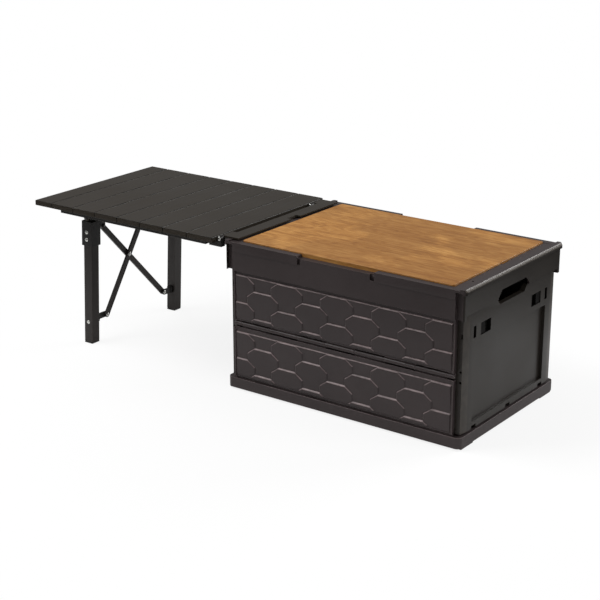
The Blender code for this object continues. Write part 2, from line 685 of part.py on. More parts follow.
def wood_lid():
    """Flat wooden panel that drops into the rim."""
    panel = prism("Z", CRATE_HEIGHT - LID_THICK, CRATE_HEIGHT,
                  rounded(LID_HALF_LENGTH, LID_HALF_WIDTH, LID_CORNER))
    axis = joint_axis("lid_axis", (0, 0, CRATE_HEIGHT - LID_THICK))
    piece("lid_panel", OILED_WOOD, [panel], axis=axis)


def end_wall(name, end):
    """End wall with its hand notch, recessed field, latch windows and the two latches and pins."""
    axis = joint_axis(name + "_axis", (end * END_PIVOT_X, 0, END_PIVOT_HEIGHT))
    face = END_WALL_FACE
    inside = END_WALL_INSIDE
    solids = [box(end * inside, end * face, -END_WALL_HALF, END_WALL_HALF, END_WALL_BOTTOM, END_WALL_TOP)]
    for side in (-1, 1):
        solids.append(box(end * (inside - END_FLANGE_REACH), end * (inside + PASS),
                          side * (END_WALL_HALF - END_FLANGE_WIDTH), side * END_WALL_HALF,
                          END_WALL_BOTTOM, END_WALL_TOP))
        y0, y1 = side * END_LUG_FROM, side * END_LUG_TO
        x0, x1 = end * (END_PIVOT_X - END_LUG_RADIUS), end * (END_PIVOT_X + END_LUG_RADIUS)
        solids.append(box(x0, x1, y0, y1, END_WALL_TOP - PASS, END_PIVOT_HEIGHT))
        solids.append(rod("Y", min(y0, y1), max(y0, y1), end * END_PIVOT_X, END_PIVOT_HEIGHT,
                          END_LUG_RADIUS / math.cos(math.pi / 12)))
    out = end * (face + PASS)
    back = end * (inside - PASS)
    recess_half = END_WALL_HALF - RECESS_SIDE_BORDER
    cuts = [box(end * (face - RECESS_DEPTH), out, -recess_half, recess_half,
                END_WALL_BOTTOM + RECESS_LOW_BORDER, CRATE_HEIGHT - RECESS_TOP_DROP)]
    cuts.append(prism("X", min(back, out), max(back, out),
                      hand_hole(HAND_HOLE_BOTTOM, END_WALL_TOP + PASS)))
    for y in (-BOTTOM_NOTCH_Y, 0, BOTTOM_NOTCH_Y):
        cuts.append(box(back, out, y - BOTTOM_NOTCH_WIDTH / 2, y + BOTTOM_NOTCH_WIDTH / 2,
                        END_WALL_BOTTOM - PASS, END_WALL_BOTTOM + BOTTOM_NOTCH_HEIGHT))
    window_back = face - WINDOW_DEPTH
    bolt_face = window_back + TOUCH + LATCH_BOLT_THICK
    middle = (WINDOW_BOTTOM + WINDOW_TOP) / 2
    for side in (-1, 1):
        cuts.append(box(end * window_back, out, side * WINDOW_FROM, side * WINDOW_TO,
                        WINDOW_BOTTOM, WINDOW_TOP))
        cuts.append(box(end * window_back, end * (bolt_face + TOUCH), side * (WINDOW_TO - PASS),
                        side * (END_WALL_HALF + PASS), middle - LATCH_BOLT_HEIGHT / 2 - TOUCH,
                        middle + LATCH_BOLT_HEIGHT / 2 + TOUCH))
        cuts.append(box(end * bolt_face, out, side * (SLOT_CENTRE - SLOT_WIDTH / 2),
                        side * (SLOT_CENTRE + SLOT_WIDTH / 2), WINDOW_BOTTOM + PASS / 2, WINDOW_TOP))
        for offset in EDGE_HOLE_OFFSETS:
            y0, y1 = side * (END_WALL_HALF - EDGE_HOLE_DEPTH), side * (END_WALL_HALF + PASS)
            cuts.append(rod("Y", min(y0, y1), max(y0, y1), end * END_PIVOT_X,
                            MID_HINGE_HEIGHT + offset, EDGE_HOLE_RADIUS, 8))
        y0, y1 = side * (END_LUG_FROM - PASS), side * (END_LUG_TO + PASS)
        cuts.append(rod("Y", min(y0, y1), max(y0, y1), end * END_PIVOT_X, END_PIVOT_HEIGHT,
                        END_PIN_RADIUS + TOUCH))
    piece(name, GREY_PLASTIC, solids, cuts, axis)
    for side, side_name in ((-1, "front"), (1, "back")):
        tab_out = WINDOW_TO - TOUCH
        tab = box(end * (window_back + TOUCH), end * (face - LATCH_TAB_SHY),
                  side * (tab_out - LATCH_TAB_LENGTH), side * tab_out,
                  WINDOW_BOTTOM + PASS / 2, WINDOW_TOP - PASS / 2)
        bolt = box(end * (window_back + TOUCH), end * bolt_face, side * (tab_out - PASS),
                   side * (END_WALL_HALF - TOUCH), middle - LATCH_BOLT_HEIGHT / 2,
                   middle + LATCH_BOLT_HEIGHT / 2)
        latch_axis = joint_axis(name + "_latch_" + side_name + "_axis",
                                (end * bolt_face, side * tab_out, middle), axis)
        piece(name.replace("end_wall", "latch") + "_" + side_name, BLACK_PLASTIC, [tab, bolt],
              axis=latch_axis)
        y0 = side * (END_LUG_FROM - END_EAR_GAP - END_EAR_THICK)
        y1 = side * (END_LUG_TO + END_EAR_GAP + END_EAR_THICK)
        piece(name + "_pin_" + side_name, BRIGHT_STEEL,
              [rod("Y", min(y0, y1), max(y0, y1), end * END_PIVOT_X, END_PIVOT_HEIGHT,
                   END_PIN_RADIUS)])


def slat(index, axis):
    """One table slat, an upturned shallow tray that runs along Y."""
    if index == 0:
        x0, x1 = TABLE_OUTER_EDGE, TABLE_FIRST_SEAM
    else:
        x0 = TABLE_FIRST_SEAM + (index - 1) * SLAT_PITCH
        x1 = x0 + SLAT_PITCH
    if index == SLAT_COUNT - 1:
        x1 = TABLE_INNER_EDGE + SLAT_GAP / 2
    x0 += SLAT_GAP / 2
    x1 -= SLAT_GAP / 2
    outline = [
        (x0, TABLE_BOTTOM), (x0, TABLE_TOP - SLAT_CHAMFER), (x0 + SLAT_CHAMFER, TABLE_TOP),
        (x1 - SLAT_CHAMFER, TABLE_TOP), (x1, TABLE_TOP - SLAT_CHAMFER), (x1, TABLE_BOTTOM),
    ]
    hollow = box(x0 + SLAT_FLANGE, x1 - SLAT_FLANGE, TABLE_FRONT + SLAT_FLANGE,
                 TABLE_BACK - SLAT_FLANGE, TABLE_BOTTOM - PASS, TABLE_TOP - SLAT_SKIN)
    piece("slat_%d" % (index + 1), DARK_ALUMINIUM,
          [prism("Y", TABLE_FRONT, TABLE_BACK, outline)], [hollow], axis)


def hinge_bore():
    """Bore on the hinge line, right across the table."""
    return rod("Y", TABLE_FRONT, TABLE_BACK, HINGE_X, HINGE_Z, HINGE_PIN_RADIUS + HINGE_BORE_GAP)


def hooks(axis):
    """Plate that lies over the rim, with its lip, its two knuckles and their headed pins."""
    plate_low = CRATE_HEIGHT + TOUCH
    plate_top = plate_low + HOOK_PLATE_THICK
    plate_end = HINGE_X + HOOK_PLATE_REACH
    first, last = HOOK_FRONT_FROM, HOOK_BACK_FROM + HOOK_LENGTH
    lip_x = -(HALF_LENGTH - END_LIP_WIDTH - HOOK_LIP_ROOM)
    solids = [box(-HALF_LENGTH - HOOK_PLATE_OVERHANG, plate_end, first, last, plate_low, plate_top)]
    for start in (HOOK_FRONT_FROM, HOOK_BACK_FROM):
        solids.append(rod("Y", start, start + HOOK_LENGTH, HINGE_X, HINGE_Z, HINGE_RADIUS))
        solids.append(box(HINGE_X, -HALF_LENGTH, start, start + HOOK_LENGTH, plate_low, plate_top))
    solids.append(box(lip_x, lip_x + HOOK_LIP_THICK, first + HOOK_LIP_INSET, last,
                      CRATE_HEIGHT - STRIP_DEPTH + TOUCH, plate_low + HOOK_PLATE_THICK / 2))
    cut_half = FINGER_NOTCH_LENGTH / 2 + HOOK_CUT_MARGIN
    grip = box(plate_end - HOOK_CUT_DEPTH, plate_end + PASS, FINGER_NOTCH_Y - cut_half,
               FINGER_NOTCH_Y + cut_half, CRATE_HEIGHT - STRIP_DEPTH, plate_top + PASS)
    piece("hook_plate", DARK_ALUMINIUM, solids, [hinge_bore(), grip], axis)
    for name, start in (("front", HOOK_FRONT_FROM), ("back", HOOK_BACK_FROM)):
        head_end = start - TABLE_KNUCKLE - 2 * TOUCH
        shaft = rod("Y", head_end - HINGE_HEAD_THICK / 2, start + HOOK_LENGTH, HINGE_X, HINGE_Z,
                    HINGE_PIN_RADIUS)
        head = rod("Y", head_end - HINGE_HEAD_THICK, head_end, HINGE_X, HINGE_Z, HINGE_HEAD_RADIUS)
        piece("hook_pin_" + name, BRIGHT_STEEL, [head, shaft], axis=axis)


def table_rails(axis):
    """Two long rails, the hinge rail at the crate end and the bar that carries the legs."""
    front = TABLE_FRONT + RAIL_FRONT_INSET
    back = TABLE_BACK - RAIL_BACK_INSET
    rail_low = RAIL_TOP - RAIL_DEPTH
    for name, y0, y1 in (("front", front, front + RAIL_WIDTH), ("back", back - RAIL_WIDTH, back)):
        piece("table_rail_" + name, DARK_ALUMINIUM,
              [box(TABLE_OUTER_EDGE + RAIL_OUTER_INSET, END_RAIL_OUTER - TOUCH, y0, y1, rail_low,
                   RAIL_TOP)], axis=axis)
    end_low = RAIL_TOP - END_RAIL_DEPTH
    first = HOOK_FRONT_FROM - TABLE_KNUCKLE
    last = HOOK_BACK_FROM - TOUCH
    solids = [box(END_RAIL_OUTER, END_RAIL_INNER, first, last, end_low, RAIL_TOP)]
    for start in (HOOK_FRONT_FROM, HOOK_BACK_FROM):
        y0, y1 = start - TABLE_KNUCKLE, start - TOUCH
        solids.append(box(END_RAIL_INNER - PASS, HINGE_X + HINGE_RADIUS, y0, y1, end_low, RAIL_TOP))
        solids.append(box(HINGE_X - HINGE_RADIUS, HINGE_X + HINGE_RADIUS, y0, y1,
                          end_low + TOUCH, HINGE_Z))
        solids.append(rod("Y", y0, y1, HINGE_X, HINGE_Z, HINGE_RADIUS))
    piece("table_hinge_rail", DARK_ALUMINIUM, solids, [hinge_bore()], axis)
    bar_low = RAIL_TOP - MOUNT_BAR_THICK
    solids = [box(LEG_PIVOT_X - MOUNT_BAR_HALF, LEG_PIVOT_X + MOUNT_BAR_HALF,
                  front + RAIL_WIDTH + TOUCH, back - RAIL_WIDTH - TOUCH, bar_low, RAIL_TOP)]
    cuts = []
    for leg_y in (FRONT_LEG_Y, BACK_LEG_Y):
        for side in (-1, 1):
            y0 = leg_y + side * (HUB_KNUCKLE_HALF + TOUCH)
            y1 = leg_y + side * HUB_HALF
            solids.append(box(LEG_PIVOT_X - HUB_EAR_RADIUS, LEG_PIVOT_X + HUB_EAR_RADIUS, y0, y1,
                              LEG_PIVOT_Z, bar_low + PASS))
            solids.append(rod("Y", min(y0, y1), max(y0, y1), LEG_PIVOT_X, LEG_PIVOT_Z,
                              HUB_EAR_RADIUS))
        cuts.append(rod("Y", leg_y - 2 * HUB_HALF, leg_y + 2 * HUB_HALF, LEG_PIVOT_X, LEG_PIVOT_Z,
                        HUB_PIN_RADIUS + HUB_PIN_GAP))
        ends = (leg_y - HUB_HALF - TOUCH, leg_y + HUB_HALF + TOUCH)
        pin = [rod("Y", ends[0] - RIVET_HEAD_THICK / 2, ends[1] + RIVET_HEAD_THICK / 2,
                   LEG_PIVOT_X, LEG_PIVOT_Z, HUB_PIN_RADIUS)]
        pin.append(rod("Y", ends[0] - RIVET_HEAD_THICK, ends[0], LEG_PIVOT_X, LEG_PIVOT_Z,
                       RIVET_HEAD_RADIUS))
        pin.append(rod("Y", ends[1], ends[1] + RIVET_HEAD_THICK, LEG_PIVOT_X, LEG_PIVOT_Z,
                       RIVET_HEAD_RADIUS))
        piece("leg_hinge_pin_" + ("front" if leg_y == FRONT_LEG_Y else "back"), BRIGHT_STEEL, pin,
              axis=axis)
    piece("leg_mount_bar", DARK_ALUMINIUM, solids, cuts, axis)


def ground(x):
    """Height of the floor under a point of the tilted leg frame."""
    return (x * math.sin(LEG_SPLAY) - LEG_PIVOT_Z) / math.cos(LEG_SPLAY)


def rivet(name, along, start, end, a, b, axis, heads=(True, True)):
    """A rivet between two outer faces, with round heads outside them."""
    solids = [rod(along, start - TOUCH - RIVET_HEAD_THICK / 2 * heads[0],
                  end + TOUCH + RIVET_HEAD_THICK / 2 * heads[1], a, b, RIVET_RADIUS)]
    if heads[0]:
        solids.append(rod(along, start - TOUCH - RIVET_HEAD_THICK, start - TOUCH, a, b,
                          RIVET_HEAD_RADIUS))
    if heads[1]:
        solids.append(rod(along, end + TOUCH, end + TOUCH + RIVET_HEAD_THICK, a, b,
                          RIVET_HEAD_RADIUS))
    leg_piece(name, BRIGHT_STEEL, solids, (), axis)


def leg_piece(name, look, solids, cuts, axis):
    """A piece drawn in the leg frame, where the pivot is the origin and the leg points down."""
    node = piece(name, look, solids, cuts)
    node.parent = axis
    return node


def leg(name, leg_y, inward, low_inset, axis):
    """One leg: tube, hub, foot cap, brace bracket and their rivets."""
    half = LEG_SIZE / 2
    hub_inner = half + TOUCH
    bore = RIVET_RADIUS + RIVET_GAP
    foot = [(-half, ground(-half)), (half, ground(half))]
    sole = [(a, b + FOOT_CAP_SOLE) for a, b in reversed(foot)]
    hollow = half - LEG_WALL
    plug = hollow - TOUCH
    hub_bottom = -HUB_TOP_DROP - HUB_LENGTH
    tube_foot = [(a, b + FOOT_CAP_SOLE + TOUCH) for a, b in foot]
    rivet_holes = [rod("Y", leg_y - 2 * HUB_HALF, leg_y + 2 * HUB_HALF, 0, -drop, bore)
                   for drop in HUB_RIVET_DROPS]
    outer = leg_y - inward * (half + PASS)
    block_end = leg_y + inward * (half + TOUCH + BRACKET_BLOCK_DEPTH)
    rivet_end = block_end - inward * PASS
    low_hole = rod("Y", min(outer, rivet_end), max(outer, rivet_end), 0, -BRACKET_RIVET_DROP, bore)
    tube = prism("Y", leg_y - half, leg_y + half,
                 tube_foot + [(half, -LEG_TOP_DROP), (-half, -LEG_TOP_DROP)])
    inside = box(-hollow, hollow, leg_y - hollow, leg_y + hollow, -2 * LEG_PIVOT_Z, 0)
    leg_piece("leg_tube_" + name, DARK_ALUMINIUM, [tube], [inside] + rivet_holes + [low_hole], axis)
    cap = prism("Y", leg_y - half, leg_y + half, foot + sole)
    cap_plug = box(-plug, plug, leg_y - plug, leg_y + plug, ground(0) + FOOT_CAP_SOLE / 2,
                   ground(0) + FOOT_CAP_SOLE + FOOT_CAP_PLUG)
    leg_piece("foot_cap_" + name, BLACK_PLASTIC, [cap, cap_plug], (), axis)
    sleeve = box(-HUB_HALF, HUB_HALF, leg_y - HUB_HALF, leg_y + HUB_HALF, hub_bottom, -HUB_TOP_DROP)
    web = box(-HUB_KNUCKLE_RADIUS, HUB_KNUCKLE_RADIUS, leg_y - HUB_KNUCKLE_HALF,
              leg_y + HUB_KNUCKLE_HALF, -HUB_TOP_DROP - TOUCH, 0)
    knuckle = rod("Y", leg_y - HUB_KNUCKLE_HALF, leg_y + HUB_KNUCKLE_HALF, 0, 0,
                  HUB_KNUCKLE_RADIUS / math.cos(math.pi / 12))
    socket = box(-hub_inner, hub_inner, leg_y - hub_inner, leg_y + hub_inner, hub_bottom - PASS,
                 -LEG_TOP_DROP + TOUCH)
    pin_bore = rod("Y", leg_y - HUB_HALF, leg_y + HUB_HALF, 0, 0, HUB_PIN_RADIUS + HUB_PIN_GAP)
    leg_piece("leg_hub_" + name, BLACK_PLASTIC, [sleeve, web, knuckle],
              [socket, pin_bore] + rivet_holes, axis)
    for number, drop in enumerate(HUB_RIVET_DROPS, 1):
        rivet("hub_rivet_%s_%d" % (name, number), "Y", leg_y - HUB_HALF, leg_y + HUB_HALF, 0, -drop,
              axis)
    pin_y = leg_y + inward * (half + low_inset)
    ear_side = -1 if name == "front" else 1
    block = box(-BRACKET_BLOCK_HALF, BRACKET_BLOCK_HALF, leg_y + inward * (half + TOUCH), block_end,
                -BRACE_LOW_DROP - BRACKET_BLOCK_HEIGHT / 2, -BRACE_LOW_DROP + BRACKET_BLOCK_HEIGHT / 2)
    ear = box(0, ear_side * BRACE_EAR_THICK, block_end - inward * PASS, pin_y,
              -BRACE_LOW_DROP - BRACE_EAR_RADIUS, -BRACE_LOW_DROP + BRACE_EAR_RADIUS)
    x0, x1 = sorted((0, ear_side * BRACE_EAR_THICK))
    ear_end = rod("X", x0, x1, pin_y, -BRACE_LOW_DROP, BRACE_EAR_RADIUS)
    ear_hole = rod("X", x0 - PASS, x1 + PASS, pin_y, -BRACE_LOW_DROP, bore)
    leg_piece("leg_bracket_" + name, BLACK_PLASTIC, [block, ear, ear_end], [low_hole, ear_hole], axis)
    heads = (inward > 0, inward < 0)
    ends = sorted((leg_y - inward * half, rivet_end - inward * 2 * TOUCH))
    rivet("bracket_rivet_" + name, "Y", ends[0], ends[1], 0, -BRACKET_RIVET_DROP, axis, heads)


def cross_brace(axis):
    """Cross tube under the table and the two flat struts that cross below it."""
    front_in = FRONT_LEG_Y + LEG_SIZE / 2
    back_in = BACK_LEG_Y - LEG_SIZE / 2
    top = {"front": (front_in + BRACE_TOP_FRONT_INSET, -BRACE_TOP_DROP),
           "back": (back_in - BRACE_TOP_BACK_INSET, -BRACE_TOP_DROP)}
    low = {"front": (front_in + BRACE_LOW_FRONT_INSET, -BRACE_LOW_DROP),
           "back": (back_in - BRACE_LOW_BACK_INSET, -BRACE_LOW_DROP)}
    bore = RIVET_RADIUS + RIVET_GAP
    solids = [rod("Y", FRONT_LEG_Y + HUB_HALF + TOUCH, BACK_LEG_Y - HUB_HALF - TOUCH, 0,
                  -CROSS_TUBE_DROP, CROSS_TUBE_RADIUS)]
    cuts = []
    for name, ear_side in (("front", 1), ("back", -1)):
        y, z = top[name]
        x0, x1 = sorted((0, ear_side * BRACE_EAR_THICK))
        solids.append(box(x0, x1, y - BRACE_EAR_RADIUS, y + BRACE_EAR_RADIUS, z, -CROSS_TUBE_DROP))
        solids.append(rod("X", x0, x1, y, z, BRACE_EAR_RADIUS))
        cuts.append(rod("X", x0 - PASS, x1 + PASS, y, z, bore))
    leg_piece("cross_tube", DARK_ALUMINIUM, solids, cuts, axis)
    x_near, x_far = STRUT_SPLIT, STRUT_SPLIT + STRUT_THICK
    top_apart = top["back"][0] - top["front"][0]
    low_apart = low["back"][0] - low["front"][0]
    share = low_apart / (low_apart + top_apart)
    start, end = low["front"], top["back"]
    crossing = tuple(start[k] + share * (end[k] - start[k]) for k in (0, 1))
    for name, start, end, sign in (("strut_1", low["front"], top["back"], 1),
                                   ("strut_2", low["back"], top["front"], -1)):
        x0, x1 = sorted((sign * x_near, sign * x_far))
        bar = prism("X", x0, x1, stadium(*start, *end, STRUT_WIDTH / 2))
        holes = [rod("X", x0 - PASS, x1 + PASS, y, z, bore) for y, z in (start, end, crossing)]
        leg_piece(name, DARK_ALUMINIUM, [bar], holes, axis)
    rivet("crossing_rivet", "X", -x_far, x_far, *crossing, axis)
    for name, spot, sign in (("low_front", low["front"], 1), ("low_back", low["back"], -1),
                             ("top_front", top["front"], -1), ("top_back", top["back"], 1)):
        faces = sorted((-sign * BRACE_EAR_THICK, sign * x_far))
        rivet("strut_rivet_" + name, "X", faces[0], faces[1], *spot, axis)


def folding_table():
    """Table top, hooks and legs, each on the axis that it turns about."""
    lift = joint_axis("table_lift_axis", (HINGE_X, 0, HINGE_Z))
    hooks(lift)
    tilt = joint_axis("table_tilt_axis", (HINGE_X, 0, HINGE_Z), lift)
    for index in range(SLAT_COUNT):
        slat(index, tilt)
    table_rails(tilt)
    fold = joint_axis("leg_fold_axis", (LEG_PIVOT_X, 0, LEG_PIVOT_Z), tilt, LEG_SPLAY)
    leg("front", FRONT_LEG_Y, 1, BRACE_LOW_FRONT_INSET, fold)
    leg("back", BACK_LEG_Y, -1, BRACE_LOW_BACK_INSET, fold)
    cross_brace(fold)


def clear_scene():
    """Remove whatever the file holds."""
    for old in list(bpy.data.objects):
        bpy.data.objects.remove(old)


clear_scene()
base_tray()
side_walls()
rim_frame()
wood_lid()
end_wall("end_wall_right", 1)
end_wall("end_wall_left", -1)
folding_table()
bpy.context.view_layer.update()
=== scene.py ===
"""Looks of a camping crate with a wooden lid and a folding slatted side table."""
import json
import math

import bmesh
import bpy
import numpy as np
from mathutils import Matrix, Vector

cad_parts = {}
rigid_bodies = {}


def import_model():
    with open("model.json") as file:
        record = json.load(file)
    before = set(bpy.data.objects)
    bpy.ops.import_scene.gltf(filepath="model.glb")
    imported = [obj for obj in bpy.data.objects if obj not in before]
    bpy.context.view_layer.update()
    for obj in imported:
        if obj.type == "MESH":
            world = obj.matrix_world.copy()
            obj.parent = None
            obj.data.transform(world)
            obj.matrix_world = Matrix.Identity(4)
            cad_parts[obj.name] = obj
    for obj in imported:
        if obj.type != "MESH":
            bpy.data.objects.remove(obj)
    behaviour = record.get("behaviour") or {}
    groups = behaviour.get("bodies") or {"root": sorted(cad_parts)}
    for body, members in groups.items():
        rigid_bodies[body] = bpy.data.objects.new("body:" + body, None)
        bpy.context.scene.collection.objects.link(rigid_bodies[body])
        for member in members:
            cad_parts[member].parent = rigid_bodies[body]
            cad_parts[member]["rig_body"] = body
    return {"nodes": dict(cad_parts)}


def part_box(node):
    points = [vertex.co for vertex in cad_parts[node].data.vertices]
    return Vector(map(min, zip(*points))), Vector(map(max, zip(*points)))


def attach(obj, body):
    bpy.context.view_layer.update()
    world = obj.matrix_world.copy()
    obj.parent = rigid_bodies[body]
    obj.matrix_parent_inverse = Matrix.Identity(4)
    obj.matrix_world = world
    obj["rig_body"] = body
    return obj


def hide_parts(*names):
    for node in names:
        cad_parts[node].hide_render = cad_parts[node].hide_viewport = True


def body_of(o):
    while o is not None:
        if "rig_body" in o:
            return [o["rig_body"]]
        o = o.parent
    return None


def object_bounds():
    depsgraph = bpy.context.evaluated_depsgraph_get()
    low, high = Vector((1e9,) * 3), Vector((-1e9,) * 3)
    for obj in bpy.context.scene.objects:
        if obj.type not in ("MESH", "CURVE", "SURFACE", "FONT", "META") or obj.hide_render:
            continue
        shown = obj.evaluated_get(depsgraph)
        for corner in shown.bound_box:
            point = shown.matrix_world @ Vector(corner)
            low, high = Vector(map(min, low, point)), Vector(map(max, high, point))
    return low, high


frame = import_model()
CAD_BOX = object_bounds()

MM = 0.001

# Camera, at the photograph's angle
CAMERA_PLACE = (1.4841, -2.3264, 1.1133)
CAMERA_TURN = (math.radians(71.32), 0.0, math.radians(36.17))
CAMERA_LENS = 91.38
CAMERA_SENSOR = 36
CAMERA_REACH = 60

# Colours as seen, in the 0 to 255 steps of a screen
CRATE_BROWN = (55, 48, 48)
CRATE_GREY = (37, 33, 29)
HUB_BLACK = (28, 26, 25)
LATCH_BLACK = (15, 14, 13)
TABLE_GREY = (45, 39, 31)
RAIL_GREY = (40, 38, 36)
LEG_GREY = (40, 36, 34)
WOOD_DARK = (133, 85, 36)
WOOD_MIDDLE = (168, 116, 56)
WOOD_LIGHT = (194, 143, 79)
STEEL = (205, 205, 200)
DARK_STEEL = (44, 42, 41)

# Slats of the table, from its outer end to the crate
SLAT_COUNT = 8

# Lean of the leg frame, as a slope
LEG_SPLAY = 0.0475

# Rim: its rounded end lips, and the raised band along the top of its long sides.
# The band is missing from MIDDLE_FROM to MIDDLE_TO. LIP_TILT and END_FACING are parts of the
# normals by which the tops of the lips, which get a painted highlight, and the rim's end faces,
# which get painted shade, are told from other faces.
LIP_ROUND = 4.5 * MM
LIP_SLOPE = 3.6 * MM
LIP_TILT = (0.3, 0.97)
RIM_CORNER = 6 * MM
END_FACING = 0.7
SIDE_BAND = (20 * MM, 20.6 * MM)
SIDE_BAND_RISE = 1.2 * MM
BAND_STEP = 0.5 * MM
MIDDLE_FROM = -92.5 * MM
MIDDLE_TO = 77 * MM

# End walls: their sloped upright borders, by which part of their normals they are found,
# and the openings whose insides are painted black as painted shade
END_STRIP_WIDTH = 18 * MM
END_STRIP_FALL = 3.2 * MM
STRIPS_FROM = 140 * MM
STRIP_FACING_X = 0.9
STRIP_FACING_Y = 0.1
POCKET_ACROSS = (75 * MM, 138 * MM)
POCKET_UP = (198 * MM, 223 * MM)
POCKET_DEPTH = (1 * MM, 8 * MM)

# How pale the lips and the strips are painted, as a painted highlight
LIP_HIGHLIGHT = 3.0
STRIP_HIGHLIGHT = 0.4

# Rounded edges: the angle in degrees from which they are rounded, and their widths
EDGE_ANGLE = 40.0
SLAT_ANGLE = 30.0
RIM_EDGE = 0.9 * MM
TRAY_EDGE = 1.2 * MM
WALL_EDGE = 0.5 * MM
ROD_EDGE = 0.2 * MM
END_EDGE = 0.7 * MM
LATCH_EDGE = 0.5 * MM
LID_EDGE = 1.0 * MM
SLAT_EDGE = 1.0 * MM
RAIL_EDGE = 0.6 * MM
BAR_EDGE = 0.4 * MM
TUBE_EDGE = 1.2 * MM
HUB_EDGE = 1.0 * MM
CAP_EDGE = 0.6 * MM
STRUT_EDGE = 0.6 * MM

# Pins and rivets: radius of the shaft, radius of the head and height of the dome
RIVET = (2.2 * MM, 4.2 * MM, 1.4 * MM)
HOOK_PIN = (2.0 * MM, 4.0 * MM, 1.4 * MM)
LEG_PIN = (3.0 * MM, 4.2 * MM, 1.2 * MM)
END_WALL_PIN = (1.8 * MM, 1.8 * MM, 0.3 * MM)
SHAFT_SIDES = 24
HEAD_SEGMENTS = 28
HEAD_RINGS = 16

# Copied solids: how near points count as one or are merged, up to what angle faces are
# joined, and from what angle edges stay sharp
HAIR = 0.01 * MM
MERGE = 0.000002
COARSE_MERGE = 0.00001
FLAT = math.radians(0.8)
SHARP = math.radians(50)
SCALE_SHARP = math.radians(60)

# Stretches that draw lines along one axis
ALONG_X = (1.0, 40.0, 40.0)
ALONG_Y = (40.0, 1.0, 40.0)
ALONG_Z = (40.0, 40.0, 1.0)

# Plastic and metal: tones of the patches and lines, and the spread of the roughness
PLASTIC_TONES = (0.88, 1.12)
PLASTIC_ROUGHER = 0.07
METAL_TONES = (0.9, 1.1)
METAL_UNEVEN = 0.06
SMOOTHER = 0.05
BRIGHT_TONE = 0.82
BRIGHT_ROUGH = (0.22, 0.36)

# Wood: places and colours of its ramp, number of rings in the flame, shares of the figure,
# the rings and the fine lines in its tone, tones of its pores and patches, its roughness
WOOD_STOPS = ((0.36, WOOD_DARK), (0.52, WOOD_MIDDLE), (0.70, WOOD_LIGHT))
FLAME_RINGS = 120.0
FIGURE_SHARE = 0.50
RING_SHARE = 0.10
FINE_SHARE = 0.50
PORE_TONE = 0.6
PATCH_TONE = 0.8
WOOD_ROUGH = (0.58, 0.44)

# Floor: its half width, how far it lies under the feet, and its tone for the camera. Its glow
# rises over the distances of FLOOR_FADE. For all other rays it turns dark over those of
# FLOOR_BRIGHT, of which only a share counts on the table's side.
FLOOR_HALF = 14.0
FLOOR_DROP = 0.0004
FLOOR_SEEN = 0.97
FLOOR_FADE = (0.45, 1.0)
FLOOR_GLOW = (0.82, 1.0)
FLOOR_BRIGHT = (0.5, 0.95)
FLOOR_TONES = (0.96, 0.05)
TABLE_SIDE_SHARE = 0.35

# Light of the world, and the lamps: name, place, the point faced, size and power in watts
WORLD_LIGHT = 0.30
LAMPS = (("key", (-1.35, -0.9, 2.1), (-0.1, 0, 0.15), (1.4, 1.4), 45),
         ("fill", (0.9, -2.0, 0.9), (0.1, 0, 0.1), (0.8, 0.6), 4),
         ("back", (1.15, 2.2, 1.4), (0.1, 0, 0.2), (1.5, 0.9), 40),
         ("side", (2.0, 0.5, 1.8), (0.2, 0, 0.2), (0.8, 0.8), 12))

# Raised scales of the long walls: the spacing and outline of the scales, their height from
# top to bottom and the rounding of their sides
SCALE_PITCH = 113 * MM
SCALE_FIRST = -232 * MM
SCALE_TOP_HALF = 20.5 * MM
SCALE_HALF = 37.5 * MM
SCALE_NECK_HALF = 19.5 * MM
SCALE_SHOULDER = 12.6 * MM
SCALE_SIDE = 14.4 * MM
SCALE_HEIGHT = 54.4 * MM
SCALE_RISE = 3.4 * MM
SCALE_LOW = 0.55 * MM
SCALE_ROUND = 3.0 * MM

# The fields that the scales fill, and the skin that carries them: its grid, its place on the
# wall, its thickness, and how its upward-facing slopes are painted paler as a painted highlight
FIELD_HALF_LENGTH = 239.4 * MM
FIELD_STEP = 0.8 * MM
FIELD_ROUND = 0.3 * MM
FACE_PAST_HINGE = 2.3 * MM
FIELD_SKIN = 1.0 * MM
FIELD_LIFT = 0.12 * MM
BORDER_STEPS = 1.5
SCALE_HIGHLIGHT_GAIN = 1.6
SCALE_HIGHLIGHT_FROM = 0.3
UPPER_FIELD = (146.3 * MM, 235.0 * MM)
LOWER_FIELD = (30.8 * MM, 120.6 * MM)


def linear(colour):
    """A screen colour as the linear one that a shader takes."""
    steps = []
    for value in colour:
        share = value / 255
        steps.append(share / 12.92 if share <= 0.04045 else ((share + 0.055) / 1.055) ** 2.4)
    return (*steps, 1.0)


# Shader groups


def new_group(name, inputs, outputs):
    """An empty shader group with named sockets."""
    group = bpy.data.node_groups.new(name, "ShaderNodeTree")
    for label, kind, value in inputs:
        socket = group.interface.new_socket(name=label, in_out="INPUT", socket_type=kind)
        socket.default_value = value
    for label, kind in outputs:
        group.interface.new_socket(name=label, in_out="OUTPUT", socket_type=kind)
    return group, group.nodes.new("NodeGroupInput"), group.nodes.new("NodeGroupOutput")


def noise_node(tree, detail, roughness, distortion=0.0):
    """A noise texture with its settings, but for its scale, which is linked."""
    node = tree.nodes.new("ShaderNodeTexNoise")
    node.inputs["Detail"].default_value = detail
    node.inputs["Roughness"].default_value = roughness
    node.inputs["Distortion"].default_value = distortion
    return node


def math_node(tree, operation, first=None, second=None, clamp=False):
    """A math node fed by sockets or plain numbers."""
    node = tree.nodes.new("ShaderNodeMath")
    node.operation = operation
    node.use_clamp = clamp
    for place, value in enumerate((first, second)):
        if value is None:
            continue
        if isinstance(value, (int, float)):
            node.inputs[place].default_value = value
        else:
            tree.links.new(value, node.inputs[place])
    return node.outputs[0]


